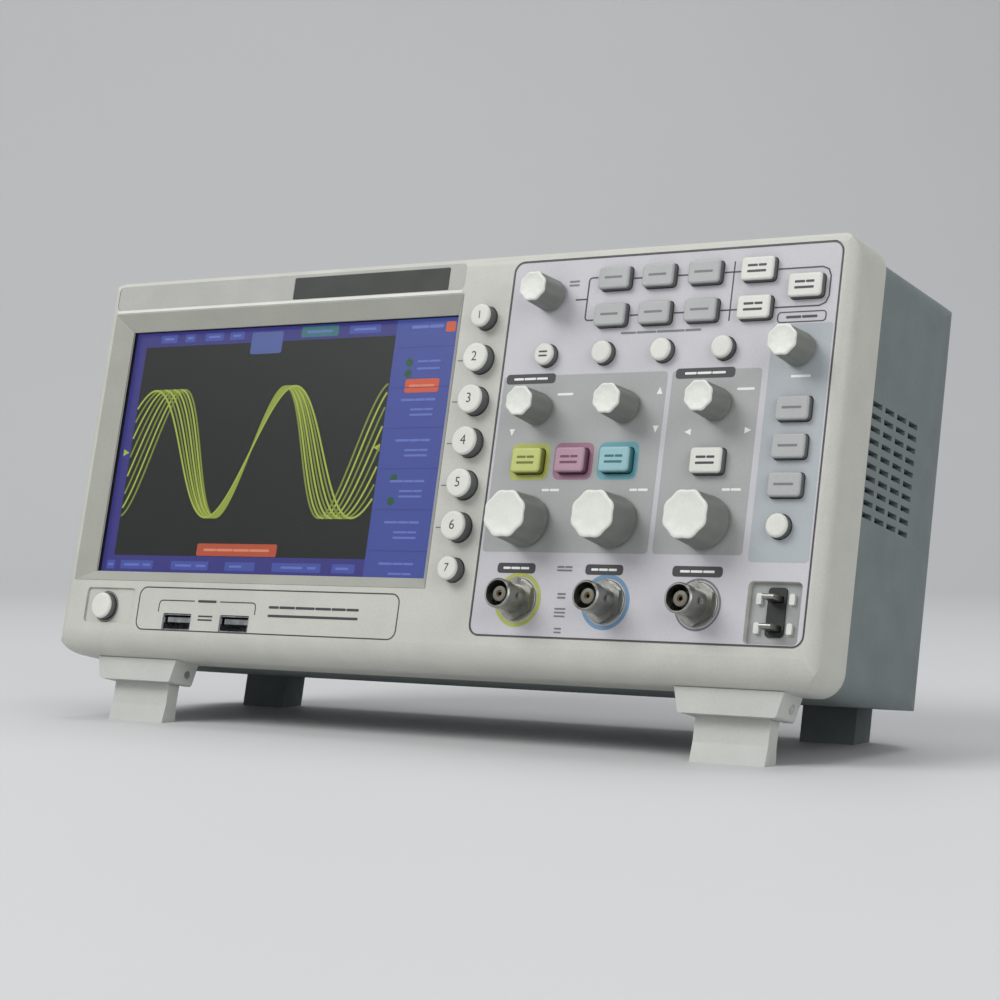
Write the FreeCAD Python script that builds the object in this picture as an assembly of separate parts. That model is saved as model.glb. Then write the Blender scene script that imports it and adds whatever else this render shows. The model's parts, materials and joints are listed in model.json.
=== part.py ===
"""Bench digital oscilloscope, built as a case of two shells with boards, keys, knobs, sockets and folding legs.

Everything is modelled upright in the case's own frame, in millimetres: X from the case's left side, Y from the
front face towards the rear, Z up from the bottom edge. place() then leans the case back onto its open front
legs and puts the origin on the floor, under the middle of the whole instrument.
"""
import FreeCAD, Part

import math
import os
from FreeCAD import Vector

# ---- driving dimensions -------------------------------------------------------------------------------------
CASE_W = 313.0
CASE_H = 142.0
CASE_D = 94.5
LEAN_DEG = 12.65            # how far the case leans back when both front legs are open
FLOOR_DROP = 24.3           # height of the front bottom edge above the floor in that position

WALL = 2.5                  # side, top and bottom walls of both shells
FRONT_WALL = 3.0
BEZEL_DEPTH = 20.0
HOUSING_INSET = 1.5         # the rear housing is this much smaller than the bezel all round
HOUSING_RISE = 6.2          # the housing's underside rises this much towards the rear
REAR_PLAN_R = 28.0         # round of the housing's two rear upright edges
REAR_TOP_R = 28.0

# Screen
SCREEN_X, SCREEN_W = 87.25, 151.5
SCREEN_Z, SCREEN_H = 76.75, 91.5
FRAME_BOX = (4.0, 166.5, 27.0, 129.0)       # outer edge of the bevelled screen frame: left, right, bottom, top
FRAME_DEPTH = 3.2
SCREEN_WALL = 4.0                           # the front wall is thicker round the screen
WINDOW_T = 1.2
LCD_GAP = 0.4               # between the window and the display behind it
LCD_T = 5.8

# Name strip over the screen
BAND_BOX = (4.0, 166.0, 130.3, 139.8)
BAND_DEPTH = 0.4
NAMEPLATE_BOX = (90.0, 159.0, 130.6, 138.6)
NAMEPLATE_T = 0.5

# Control panel overlay
OVERLAY_BOX = (186.0, 308.5, 12.0, 138.8)
OVERLAY_R = 4.0
OVERLAY_RECESS = 0.6
OVERLAY_T = 0.45

# Columns and rows of the controls
CHANNEL_PITCH = 33.4
CHANNEL_X = [204.0 + CHANNEL_PITCH * i for i in range(3)]       # channel 1, channel 2, horizontal
TRIGGER_X = 297.3
FUNCTION_X = [227.4, 244.0, 261.0, 280.1]
FUNCTION_Z = [130.5, 118.1]
ROUND_KEY_X = [203.8 + 22.2 * i for i in range(4)]
ROUND_KEY_Z = 105.6
POSITION_KNOB_Z = 87.4
MENU_KEY_Z = 70.0
SCALE_KNOB_Z = 49.9
BNC_Z = 24.4
SOFT_KEY_X = 177.3
SOFT_KEY_Z = [119.5 - 14.33 * i for i in range(7)]

# Keys: every key travels straight into the panel
KEY_TRAVEL = 0.8
KEY_GAP = 0.3               # between a key and its hole, on every side
KEY_FLANGE = 1.1            # how far the flange behind the panel reaches past the key
KEY_FLANGE_T = 1.1
KEY_STEM_END = 6.9
SWITCH_TOP = KEY_STEM_END + KEY_TRAVEL + 0.1
SWITCH_W = 6.0

# Knobs and their encoders
SHAFT_R = 3.0
SHAFT_RUNNING_GAP = 0.05
BUSHING_R = 3.7
BUSHING_TIP = -0.6          # the bushing ends this far in front of the panel
ENCODER_W = 11.0
KNOB_BASE = -1.0            # a knob's back stands this far in front of the panel
KNOB_FLUTES = 8             # shallow ones, which leave each knob nearly eight-sided
SMALL_KNOB = {"base_r": 5.5, "top_r": 4.8, "height": 11.6}
LARGE_KNOB = {"base_r": 8.6, "top_r": 7.8, "height": 12.8}

# Boards and the parts between them, by depth
KEY_BOARD_Y = 10.5
IO_BOARD_Y = 14.0
MAIN_BOARD_Y = 26.0
CHASSIS_Y = 31.0
POWER_BOARD_Y = 44.0
BOARD_T = 1.6
SHEET_T = 1.0

# Screw posts that join the shells, by X and Z
POSTS = [(34.0, 134.0), (291.5, 134.0), (40.0, 17.0), (280.0, 12.0)]
POST_R = 3.5
POST_END = 24.0
TUBE_R = 4.0
SCREW_HEAD_R = 2.9
SCREW_HEAD_T = 2.4
SCREW_SEAT_Y = 30.0
SCREW_R = 1.45
SCREW_HOLE_R = 1.55
CASE_SCREW_L = 17.0
BOARD_SCREW_L = 6.0

# Screws that hold the boards, by X and Z
KEY_BOARD_SCREWS = [(173.0, 131.0), (173.0, 25.0), (305.5, 95.0), (254.0, 14.0)]
IO_BOARD_SCREWS = [(33.0, 8.5), (71.5, 12.7)]
MAIN_BOARD_SCREWS = [(x, z) for x in (24.0, 156.0, 284.0) for z in (28.0, 114.0)]
POWER_BOARD_SCREWS = [(x, z) for x in (40.0, 136.0) for z in (60.0, 112.0)]
BOSS_R = 2.8

# Front legs
LEG_X = [22.0, 267.7]
LEG_W = 26.3
LEG_PIVOT_Y, LEG_PIVOT_Z = 15.0, -4.2
LEG_BARREL_R = 3.4
LEG_PIN_R = 1.5
LEG_FOLD_DEG = 90.0
BRACKET_SIDE = 5.6          # each bracket's cheek, outside its leg
BRACKET_Z = -8.0
BRACKET_Y = (7.0, 19.0)

# Rear feet
REAR_FOOT_X = [23.0, 267.0]
REAR_FOOT_W = 20.0
REAR_FOOT_Y = (82.0, 93.0)

# Carrying handle, folded flat in a tray in the housing's top
TRAY_BOX = (88.0, 225.0, 28.0, 78.0)        # left, right, front, rear
TRAY_FLOOR_Z = 127.0
HANDLE_PIVOT_Y, HANDLE_PIVOT_Z = 34.0, 134.0
HANDLE_BARREL_R = 4.6
HANDLE_ARM_W = 8.0
HANDLE_ARM_Z = (129.4, 138.4)
HANDLE_GRIP_Y = (62.0, 75.5)
HANDLE_SIDE_GAP = 0.8
HANDLE_PIN_R = 2.0
HANDLE_LIFT_DEG = 90.0

# Fan, blowing out through the right side
FAN_SIZE = 40.0
FAN_T = 10.0
FAN_Y, FAN_Z = 42.0, 76.0
FAN_RIGHT_X = 309.0
FAN_HOLE_R = 18.8
ROTOR_R = 17.9
ROTOR_HUB_R = 9.0
FAN_BLADES = 7

# Vent slots, in both sides
VENT_Y = [26.5 + 8.6 * i for i in range(4)]
VENT_Z = [58.0 + 3.9 * i for i in range(10)]
VENT_W, VENT_H = 6.4, 1.7

# Sockets
BNC_BARREL_R = 4.83
BNC_NECK_R = 4.6
BNC_BORE_R = 4.1
BNC_LENGTH = 12.0
BNC_MATE_LENGTH = 4.1       # full-size barrel in front of the bayonet lugs
USB_X = [58.0, 85.0]
USB_Z = 12.7
USB_OUTER_W, USB_OUTER_H = 13.1, 5.7
USB_WALL = 0.35
POWER_KEY_X, POWER_KEY_Z = 22.0, 17.5
POWER_RECESS = (12.0, 36.0, 11.6, 24.4)
PROBE_RECESS = (288.0, 306.0, 13.0, 32.0)
PROBE_RECESS_DEPTH = 2.2
INLET_X, INLET_Z = 58.0, 38.0
DEVICE_SOCKET_X, DEVICE_SOCKET_Z = 98.0, 34.0


# ---- shape helpers ------------------------------------------------------------------------------------------
def block(x0, x1, y0, y1, z0, z1):
    return Part.makeBox(x1 - x0, y1 - y0, z1 - z0, Vector(x0, y0, z0))


def rod(x, z, y0, y1, radius):
    """Cylinder along Y."""
    return Part.makeCylinder(radius, y1 - y0, Vector(x, y0, z), Vector(0, 1, 0))


def cross_rod(x0, x1, y, z, radius):
    """Cylinder along X."""
    return Part.makeCylinder(radius, x1 - x0, Vector(x0, y, z), Vector(1, 0, 0))


def rounded_outline(corners, lift):
    """Closed wire through corners (a, b, radius), each rounded to its radius. lift() puts it in space."""
    arcs = []
    for i, (a, b, radius) in enumerate(corners):
        here = Vector(a, b, 0)
        back = (Vector(*corners[i - 1][:2], 0) - here).normalize()
        ahead = (Vector(*corners[(i + 1) % len(corners)][:2], 0) - here).normalize()
        half = back.getAngle(ahead) / 2
        towards_centre = (back + ahead).normalize()
        centre = here + towards_centre * (radius / math.sin(half))
        reach = radius / math.tan(half)
        arcs.append((here + back * reach, centre - towards_centre * radius, here + ahead * reach))
    edges = []
    for i, (start, middle, end) in enumerate(arcs):
        before = arcs[i - 1][2]
        if (start - before).Length > 1e-6:
            edges.append(Part.LineSegment(lift(before), lift(start)).toShape())
        if (end - start).Length > 1e-6:
            edges.append(Part.Arc(lift(start), lift(middle), lift(end)).toShape())
    return Part.Wire(edges)


def front_prism(corners, y0, y1):
    """Outline seen from the front (x, z, radius), extruded from y0 to y1."""
    wire = rounded_outline(corners, lambda p: Vector(p.x, y0, p.y))
    return Part.Face(wire).extrude(Vector(0, y1 - y0, 0))


def side_prism(corners, x0, x1):
    """Outline seen from the side (y, z, radius), extruded from x0 to x1."""
    wire = rounded_outline(corners, lambda p: Vector(x0, p.x, p.y))
    return Part.Face(wire).extrude(Vector(x1 - x0, 0, 0))


def plan_prism(corners, z0, z1):
    """Outline seen from above (x, y, radius), extruded from z0 to z1."""
    wire = rounded_outline(corners, lambda p: Vector(p.x, p.y, z0))
    return Part.Face(wire).extrude(Vector(0, 0, z1 - z0))


def tablet(x0, x1, z0, z1, radius, y0, y1):
    """Rectangular plate with round corners, facing the front."""
    return front_prism([(x0, z0, radius), (x1, z0, radius), (x1, z1, radius), (x0, z1, radius)], y0, y1)


def grown(box, reach):
    """A (left, right, bottom, top) box made larger by reach on every side."""
    left, right, bottom, top = box
    return left - reach, right + reach, bottom - reach, top + reach


def centred_tablet(x, z, width, height, radius, y0, y1):
    return tablet(x - width / 2, x + width / 2, z - height / 2, z + height / 2, radius, y0, y1)


def joined(shapes):
    first, *rest = shapes
    return first.fuse(rest).removeSplitter() if rest else first


def without(shape, cutters):
    return shape.cut(cutters)


def front_edges(shape, y, tolerance=1e-3):
    """The edges that lie wholly in the plane at depth y."""
    return [e for e in shape.Edges
            if abs(e.BoundBox.YMin - y) < tolerance and abs(e.BoundBox.YMax - y) < tolerance]


# ---- the two shells -----------------------------------------------------------------------------------------
def bezel_form(inset, y0):
    """The bezel's outer form, or its hollow when inset; its lower front edge is rounder than the others."""
    x1, z1 = CASE_W - inset, CASE_H - inset
    edge_r, lower_r, corner_r = (max(r - inset, 1.0) for r in (4.0, 9.0, 8.0))
    back = BEZEL_DEPTH
    plan = plan_prism([(inset, y0, edge_r), (x1, y0, edge_r), (x1, back, 0), (inset, back, 0)], 0, CASE_H)
    side = side_prism([(y0, inset, lower_r), (back, inset, 0), (back, z1, 0), (y0, z1, edge_r)], 0, CASE_W)
    front = tablet(inset, x1, inset, z1, corner_r, y0, back)
    return front.common(plan).common(side)


def housing_form(inset):
    """The rear housing's outer form, or its hollow when inset."""
    low = HOUSING_INSET + inset
    x1, z1 = CASE_W - low, CASE_H - low
    y0, y1 = BEZEL_DEPTH, CASE_D - inset
    bottom = 1.0 + inset
    plan_r, top_r, corner_r = (max(r - inset, 1.0) for r in (REAR_PLAN_R, REAR_TOP_R, 8.0))
    plan = plan_prism([(low, y0, 0), (x1, y0, 0), (x1, y1, plan_r), (low, y1, plan_r)], 0, CASE_H)
    profile = [(y0, bottom, 0), (42.0, bottom, 20.0), (y1, bottom + HOUSING_RISE, 3.0), (y1, z1, top_r),
               (y0, z1, 0)]
    side = side_prism(profile, 0, CASE_W)
    front = tablet(low, x1, bottom, z1, corner_r, y0, y1)
    return front.common(plan).common(side)


def screen_frame_cut():
    """Bevelled recess that leads down to the screen opening."""
    left, right, bottom, top = FRAME_BOX
    x0, x1 = SCREEN_X - SCREEN_W / 2, SCREEN_X + SCREEN_W / 2
    z0, z1 = SCREEN_Z - SCREEN_H / 2, SCREEN_Z + SCREEN_H / 2
    outer = Part.makePolygon([Vector(x, 0, z) for x, z in (
        (left, bottom), (right, bottom), (right, top), (left, top), (left, bottom))])
    inner = Part.makePolygon([Vector(x, FRAME_DEPTH, z) for x, z in (
        (x0, z0), (x1, z0), (x1, z1), (x0, z1), (x0, z0))])
    bevel = Part.makeLoft([outer, inner], True, True)
    return [bevel, block(x0, x1, FRAME_DEPTH - 0.01, SCREEN_WALL + 0.1, z0, z1)]


def front_bezel():
    left, right, bottom, top = FRAME_BOX
    shell = without(bezel_form(0, 0), [bezel_form(WALL, FRONT_WALL)])
    pads = [
        block(left - 1, right + 1, FRONT_WALL - 0.5, SCREEN_WALL, bottom - 1, top + 1),
        tablet(*grown(PROBE_RECESS, 1.5), 1.5, FRONT_WALL - 0.5, FRONT_WALL + 1.5),
    ]
    posts = [rod(x, z, FRONT_WALL - 0.5, POST_END, POST_R) for x, z in POSTS]
    posts += [rod(x, z, FRONT_WALL - 0.5, KEY_BOARD_Y, BOSS_R) for x, z in KEY_BOARD_SCREWS]
    posts += [rod(x, z, FRONT_WALL - 0.5, IO_BOARD_Y, BOSS_R) for x, z in IO_BOARD_SCREWS]
    cuts = screen_frame_cut()
    cuts.append(tablet(*BAND_BOX, 2.0, -1.0, BAND_DEPTH))
    cuts.append(tablet(*NAMEPLATE_BOX, 0.6, -1.0, BAND_DEPTH + NAMEPLATE_T))
    cuts.append(tablet(*OVERLAY_BOX, OVERLAY_R, -1.0, OVERLAY_RECESS))
    cuts.append(tablet(*POWER_RECESS, 1.5, -1.0, 0.8))
    cuts.append(tablet(*PROBE_RECESS, 1.5, -1.0, PROBE_RECESS_DEPTH))
    cuts += panel_holes(FRONT_WALL + 0.1)
    cuts += [centred_tablet(x, USB_Z, USB_OUTER_W + 0.5, USB_OUTER_H + 0.5, 0.6, -1.0, FRONT_WALL + 0.1)
             for x in USB_X]
    cuts += screw_holes(POSTS + KEY_BOARD_SCREWS + IO_BOARD_SCREWS, 4.5, POST_END + 1)
    cuts += [block(x - 2.5, x + 2.5, -1.0, 6.0, z - 1.0, z + 1.0) for x, z in probe_terminal_places()]
    return without(joined([shell, *pads, *posts]), cuts)


def panel_holes(depth):
    """Openings for the keys, the encoder bushings and the front sockets."""
    holes = []
    for x, z, key in KEYS.values():
        if "radius" in key:
            holes.append(rod(x, z, -1.0, depth, key["radius"] + KEY_GAP))
        else:
            width, height = key["width"] + 2 * KEY_GAP, key["height"] + 2 * KEY_GAP
            holes.append(centred_tablet(x, z, width, height, 1.5, -1.0, depth))
    holes += [rod(x, z, -1.0, depth, BUSHING_R + 0.4) for x, z, _ in KNOBS.values()]
    holes += [rod(x, BNC_Z, -1.0, depth, 6.5) for x in CHANNEL_X]
    return holes


def control_overlay():
    """Printed plate in the shallow recess of the bezel, pierced for every control on it."""
    y0 = OVERLAY_RECESS - OVERLAY_T
    plate = tablet(*grown(OVERLAY_BOX, -0.3), OVERLAY_R - 0.3, y0, OVERLAY_RECESS)
    probe_window = tablet(*grown(PROBE_RECESS, 0.2), 1.7, -1.0, FRONT_WALL)
    return without(plate, [*panel_holes(FRONT_WALL), probe_window])


def nameplate():
    return tablet(*grown(NAMEPLATE_BOX, -0.1), 0.5, BAND_DEPTH, BAND_DEPTH + NAMEPLATE_T)


def vent_slots():
    slots = []
    for y in VENT_Y:
        for z in VENT_Z:
            for x0, x1 in ((-1.0, 8.0), (CASE_W - 8.0, CASE_W + 1.0)):
                slots.append(block(x0, x1, y - VENT_W / 2, y + VENT_W / 2, z - VENT_H / 2, z + VENT_H / 2))
    return slots


def rear_housing():
    outer = housing_form(0)
    tray_left, tray_right, tray_front, tray_rear = TRAY_BOX
    tray = block(*grown(TRAY_BOX, WALL), TRAY_FLOOR_Z - WALL, CASE_H)
    tubes = [rod(x, z, POST_END, CASE_D, TUBE_R) for x, z in POSTS]
    case = (0.0, CASE_W, 0.0, CASE_H)
    inside = tablet(*grown(case, -(HOUSING_INSET + WALL)), 4.0, 16.0, BEZEL_DEPTH + 4)
    tongue = without(tablet(*grown(case, -(WALL + 0.2)), 5.0, 16.5, BEZEL_DEPTH), [inside])
    rim = without(outer.common(block(0, CASE_W, BEZEL_DEPTH, BEZEL_DEPTH + 3, 0, CASE_H)), [inside])
    shell = without(outer, [housing_form(WALL)])
    fittings = joined([tray, *tubes]).common(outer)
    body = joined([shell, rim, tongue, fittings])
    cuts = vent_slots()
    cuts.append(tablet_from_above(tray_left, tray_right, tray_front, tray_rear, 3.0, TRAY_FLOOR_Z, CASE_H + 1))
    for x, z in POSTS:
        cuts.append(rod(x, z, SCREW_SEAT_Y, CASE_D + 1, SCREW_HEAD_R + 0.3))
        cuts.append(rod(x, z, POST_END - 1, SCREW_SEAT_Y + 1, SCREW_HOLE_R))
    cuts.append(centred_tablet(INLET_X, INLET_Z, 27.6, 20.0, 1.0, CASE_D - 6, CASE_D + 2))
    cuts.append(centred_tablet(DEVICE_SOCKET_X, DEVICE_SOCKET_Z, 12.6, 11.4, 0.5, CASE_D - 6, CASE_D + 2))
    for x in (tray_left - WALL - 1, tray_right - 1):
        cuts.append(cross_rod(x, x + WALL + 2, HANDLE_PIVOT_Y, HANDLE_PIVOT_Z, HANDLE_PIN_R + 0.02))
    return without(body, cuts)


def tablet_from_above(x0, x1, y0, y1, radius, z0, z1):
    return plan_prism([(x0, y0, radius), (x1, y0, radius), (x1, y1, radius), (x0, y1, radius)], z0, z1)


# ---- screen -------------------------------------------------------------------------------------------------
def screen_window():
    y0, y1 = SCREEN_WALL, SCREEN_WALL + WINDOW_T
    return centred_tablet(SCREEN_X, SCREEN_Z, SCREEN_W + 5, SCREEN_H + 5, 1.0, y0, y1)


def lcd_module():
    y0 = SCREEN_WALL + WINDOW_T + LCD_GAP
    return centred_tablet(SCREEN_X, SCREEN_Z, 157.5, 98.5, 1.0, y0, y0 + LCD_T)


# ---- keys ---------------------------------------------------------------------------------------------------
FUNCTION_KEY = {"width": 11.5, "height": 7.5, "proud": 2.6}
MENU_KEY = {"width": 11.2, "height": 8.2, "proud": 2.8}
TRIGGER_KEY = {"width": 11.3, "height": 7.6, "proud": 2.4}
ROUND_KEY = {"radius": 3.75, "proud": 3.0}
SOFT_KEY = {"radius": 4.9, "proud": 4.6}
SMALL_SOFT_KEY = {"radius": 4.0, "proud": 4.6}
POWER_KEY = {"radius": 4.75, "proud": 2.6}


def key_places():
    """Every key by node name: x, z and its size."""
    keys = {}
    for i, z in enumerate(SOFT_KEY_Z):
        at_end = i in (0, len(SOFT_KEY_Z) - 1)
        keys[f"soft_key_{i + 1}"] = (SOFT_KEY_X, z, SMALL_SOFT_KEY if at_end else SOFT_KEY)
    for row, z in enumerate(FUNCTION_Z):
        for column, x in enumerate(FUNCTION_X):
            keys[f"function_key_{4 * row + column + 1}"] = (x, z, FUNCTION_KEY)
    keys["run_stop_key"] = (TRIGGER_X, sum(FUNCTION_Z) / 2, FUNCTION_KEY)
    for i, x in enumerate(ROUND_KEY_X):
        keys[f"round_key_{i + 1}"] = (x, ROUND_KEY_Z, ROUND_KEY)
    keys["channel_1_menu_key"] = (202.0, MENU_KEY_Z, MENU_KEY)
    keys["math_menu_key"] = (218.9, MENU_KEY_Z, MENU_KEY)
    keys["channel_2_menu_key"] = (235.8, MENU_KEY_Z, MENU_KEY)
    keys["horizontal_menu_key"] = (269.3, MENU_KEY_Z - 0.7, MENU_KEY)
    for i, z in enumerate((85.5, 73.6, 61.6)):
        keys[f"trigger_key_{i + 1}"] = (TRIGGER_X, z, TRIGGER_KEY)
    keys["force_trigger_key"] = (TRIGGER_X - 0.8, 48.9, ROUND_KEY)
    keys["power_button"] = (POWER_KEY_X, POWER_KEY_Z, POWER_KEY)
    return keys


def key_cap(x, z, key):
    """Cap, flange behind the panel and stem that works the switch, moulded in one."""
    front, flange = -key["proud"], FRONT_WALL + 0.1
    flange_end = flange + KEY_FLANGE_T
    if "radius" in key:
        cap = rod(x, z, front, flange_end, key["radius"])
        cap = cap.makeFillet(0.9, front_edges(cap, front))
        collar = rod(x, z, flange, flange_end, key["radius"] + KEY_FLANGE)
    else:
        cap = centred_tablet(x, z, key["width"], key["height"], 1.2, front, flange_end)
        cap = cap.makeFillet(0.7, front_edges(cap, front))
        collar = centred_tablet(x, z, key["width"] + 2 * KEY_FLANGE, key["height"] + 2 * KEY_FLANGE, 1.5,
                                flange, flange_end)
    stem = rod(x, z, flange_end - 0.5, KEY_STEM_END, 1.3)
    return joined([cap, collar, stem])


# ---- knobs --------------------------------------------------------------------------------------------------
def knob_places():
    """Every knob by node name: x, z and its size."""
    knobs = {"multipurpose_knob": (202.9, 125.9, SMALL_KNOB)}
    for name, x in zip(("channel_1", "channel_2", "horizontal"), CHANNEL_X):
        knobs[f"{name}_position_knob"] = (x - 0.8, POSITION_KNOB_Z, SMALL_KNOB)
        knobs[f"{name}_scale_knob"] = (x, SCALE_KNOB_Z, LARGE_KNOB)
    knobs["trigger_level_knob"] = (TRIGGER_X - 0.3, 104.1, SMALL_KNOB)
    return knobs


def knob(x, z, size):
    """Fluted cap, and the encoder shaft that it is pressed onto, as two solids."""
    base_r, top_r, height = size["base_r"], size["top_r"], size["height"]
    cone = Part.makeCone(base_r, top_r, height, Vector(x, KNOB_BASE, z), Vector(0, -1, 0))
    cone = cone.makeChamfer(0.6, front_edges(cone, KNOB_BASE - height))
    flute_r = 0.85 * base_r
    flutes = []
    for i in range(KNOB_FLUTES):
        angle = 2 * math.pi * i / KNOB_FLUTES
        ahead = Vector(math.cos(angle), 0, math.sin(angle))
        foot = Vector(x, KNOB_BASE - 1.4, z) + ahead * (base_r + flute_r - 0.05 * base_r)
        tip = Vector(x, KNOB_BASE - height - 1, z) + ahead * (top_r + flute_r - 0.06 * base_r)
        flutes.append(Part.makeCylinder(flute_r, (tip - foot).Length, foot, tip - foot))
    socket_end = KNOB_BASE - height + 3.0
    socket = rod(x, z, socket_end, KNOB_BASE + 1, SHAFT_R + 0.03)
    cap = without(cone, [*flutes, socket])
    shaft = rod(x, z, socket_end, KEY_BOARD_Y - 2.0, SHAFT_R)
    return Part.makeCompound([cap, shaft])


def encoder(x, z):
    """Encoder body with its bushing through the panel, bored for the shaft."""
    half = ENCODER_W / 2
    body = block(x - half, x + half, 4.6, KEY_BOARD_Y, z - half, z + half)
    bushing = rod(x, z, BUSHING_TIP, 5.0, BUSHING_R)
    bore = rod(x, z, BUSHING_TIP - 1, KEY_BOARD_Y - 1.8, SHAFT_R + SHAFT_RUNNING_GAP)
    return without(joined([body, bushing]), [bore])


# ---- boards and chassis -------------------------------------------------------------------------------------
def post_holes(y0, y1):
    return [rod(x, z, y0, y1, TUBE_R + 0.6) for x, z in POSTS]


def screw_holes(places, y0, y1):
    return [rod(x, z, y0, y1, SCREW_HOLE_R) for x, z in places]


def keypad_boards():
    """Key board with its switches, the small board of the power key and USB sockets, and the encoders."""
    y0, y1 = KEY_BOARD_Y, KEY_BOARD_Y + BOARD_T
    board = tablet(168.0, 308.0, 6.0, 138.0, 2.0, y0, y1)
    cuts = post_holes(y0 - 1, y1 + 1)
    cuts += [rod(x, BNC_Z, y0 - 1, y1 + 1, 7.4) for x in CHANNEL_X]
    cuts += screw_holes(KEY_BOARD_SCREWS, y0 - 1, y1 + 1)
    small = tablet(14.0, 100.0, 5.0, 25.0, 1.0, IO_BOARD_Y, IO_BOARD_Y + BOARD_T)
    small_ends = (IO_BOARD_Y - 1, IO_BOARD_Y + BOARD_T + 1)
    small = without(small, post_holes(*small_ends) + screw_holes(IO_BOARD_SCREWS, *small_ends))
    board = without(board, cuts)
    half = SWITCH_W / 2
    switches = []
    for name, (x, z, _) in KEYS.items():
        if name != "power_button":
            switches.append(block(x - half, x + half, SWITCH_TOP, y0 + 0.2, z - half, z + half))
    board = joined([board, *switches])
    power_switch = block(POWER_KEY_X - half, POWER_KEY_X + half, SWITCH_TOP, IO_BOARD_Y + 0.2,
                         POWER_KEY_Z - half, POWER_KEY_Z + half)
    encoders = [encoder(x, z) for x, z, _ in KNOBS.values()]
    return Part.makeCompound([board, joined([small, power_switch]), *encoders])


def main_board():
    """Signal board behind the controls, with its converter's shield, processor and memory."""
    y0, y1 = MAIN_BOARD_Y, MAIN_BOARD_Y + BOARD_T
    holes = post_holes(y0 - 1, y1 + 1) + screw_holes(MAIN_BOARD_SCREWS, y0 - 1, y1 + 1)
    board = without(tablet(14.0, 290.0, 10.0, 121.0, 2.0, y0, y1), holes)
    parts = [block(188, 250, 20.0, y0 + 0.2, 34, 74), block(120, 148, 22.6, y0 + 0.2, 50, 78)]
    parts += [block(60 + 16 * i, 72 + 16 * i, 24.8, y0 + 0.2, 92, 112) for i in range(3)]
    return joined([board, *parts])


def chassis():
    """Folded sheet-metal frame that carries both boards on its spacers and stands on the housing's floor."""
    y0, y1 = CHASSIS_Y, CHASSIS_Y + SHEET_T
    plate = tablet(16.0, 290.0, 12.0, 121.0, 2.0, y0, y1)
    lower = block(20.0, 286.0, y1 - 0.5, y1 + 9.0, 12.0, 12.0 + SHEET_T)
    upper = block(20.0, 286.0, y1 - 0.5, y1 + 9.0, 121.0 - SHEET_T, 121.0)
    stands = [block(x, x + 14.0, y0, y1, 1.0 + WALL, 14.0) for x in (60.0, 230.0)]
    frame = without(joined([plate, lower, upper, *stands]), post_holes(y0 - 1, y1 + 12))
    spacers = [rod(x, z, MAIN_BOARD_Y + BOARD_T, y0 + 0.2, BOSS_R) for x, z in MAIN_BOARD_SCREWS]
    spacers += [rod(x, z, y1 - 0.2, POWER_BOARD_Y, BOSS_R) for x, z in POWER_BOARD_SCREWS]
    holes = screw_holes(MAIN_BOARD_SCREWS, MAIN_BOARD_Y, y1 + 2)
    holes += screw_holes(POWER_BOARD_SCREWS, y0 - 1, POWER_BOARD_Y + 1)
    return without(joined([frame, *spacers]), holes)


def power_supply_board():
    """Mains supply: board, transformer, reservoir capacitors and two finned heat sinks."""
    y0, y1 = POWER_BOARD_Y, POWER_BOARD_Y + BOARD_T
    board = tablet(34.0, 142.0, 54.0, 118.0, 1.0, y0, y1)
    board = without(board, screw_holes(POWER_BOARD_SCREWS, y0 - 1, y1 + 1))
    transformer = block(84, 112, y1 - 0.2, y1 + 20, 72, 100)
    capacitors = [rod(50, z, y1 - 0.2, y1 + 24, 7.5) for z in (66, 84)]
    sinks = []
    for x in (70, 128):
        sinks.append(block(x, x + 2, y1 - 0.2, y1 + 22, 60, 104))
        sinks += [block(x - 4, x + 6, y1 + 5 * i, y1 + 5 * i + 1.2, 62, 102) for i in range(1, 5)]
    return joined([board, transformer, *capacitors, *sinks])


# ---- fan ----------------------------------------------------------------------------------------------------
def fan_frame():
    x0, x1 = FAN_RIGHT_X - FAN_T, FAN_RIGHT_X
    half = FAN_SIZE / 2
    frame = block(x0, x1, FAN_Y - half, FAN_Y + half, FAN_Z - half, FAN_Z + half)
    frame = without(frame, [cross_rod(x0 - 1, x1 + 1, FAN_Y, FAN_Z, FAN_HOLE_R)])
    motor = cross_rod(x0, x0 + 2.5, FAN_Y, FAN_Z, ROTOR_HUB_R)
    arms = []
    for i in range(3):
        arm = block(x0, x0 + 1.6, FAN_Y - 1.5, FAN_Y + 1.5, FAN_Z + ROTOR_HUB_R - 2, FAN_Z + FAN_HOLE_R + 0.6)
        arm.rotate(Vector(x0, FAN_Y, FAN_Z), Vector(1, 0, 0), 60 + 120 * i)
        arms.append(arm)
    corner_holes = [cross_rod(x0 - 1, x1 + 1, FAN_Y + a, FAN_Z + b, 1.7) for a in (-16, 16) for b in (-16, 16)]
    bearing = cross_rod(x0 + 0.8, x0 + 4, FAN_Y, FAN_Z, 1.0 + SHAFT_RUNNING_GAP)
    return without(joined([frame, motor, *arms]), [*corner_holes, bearing])


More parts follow.
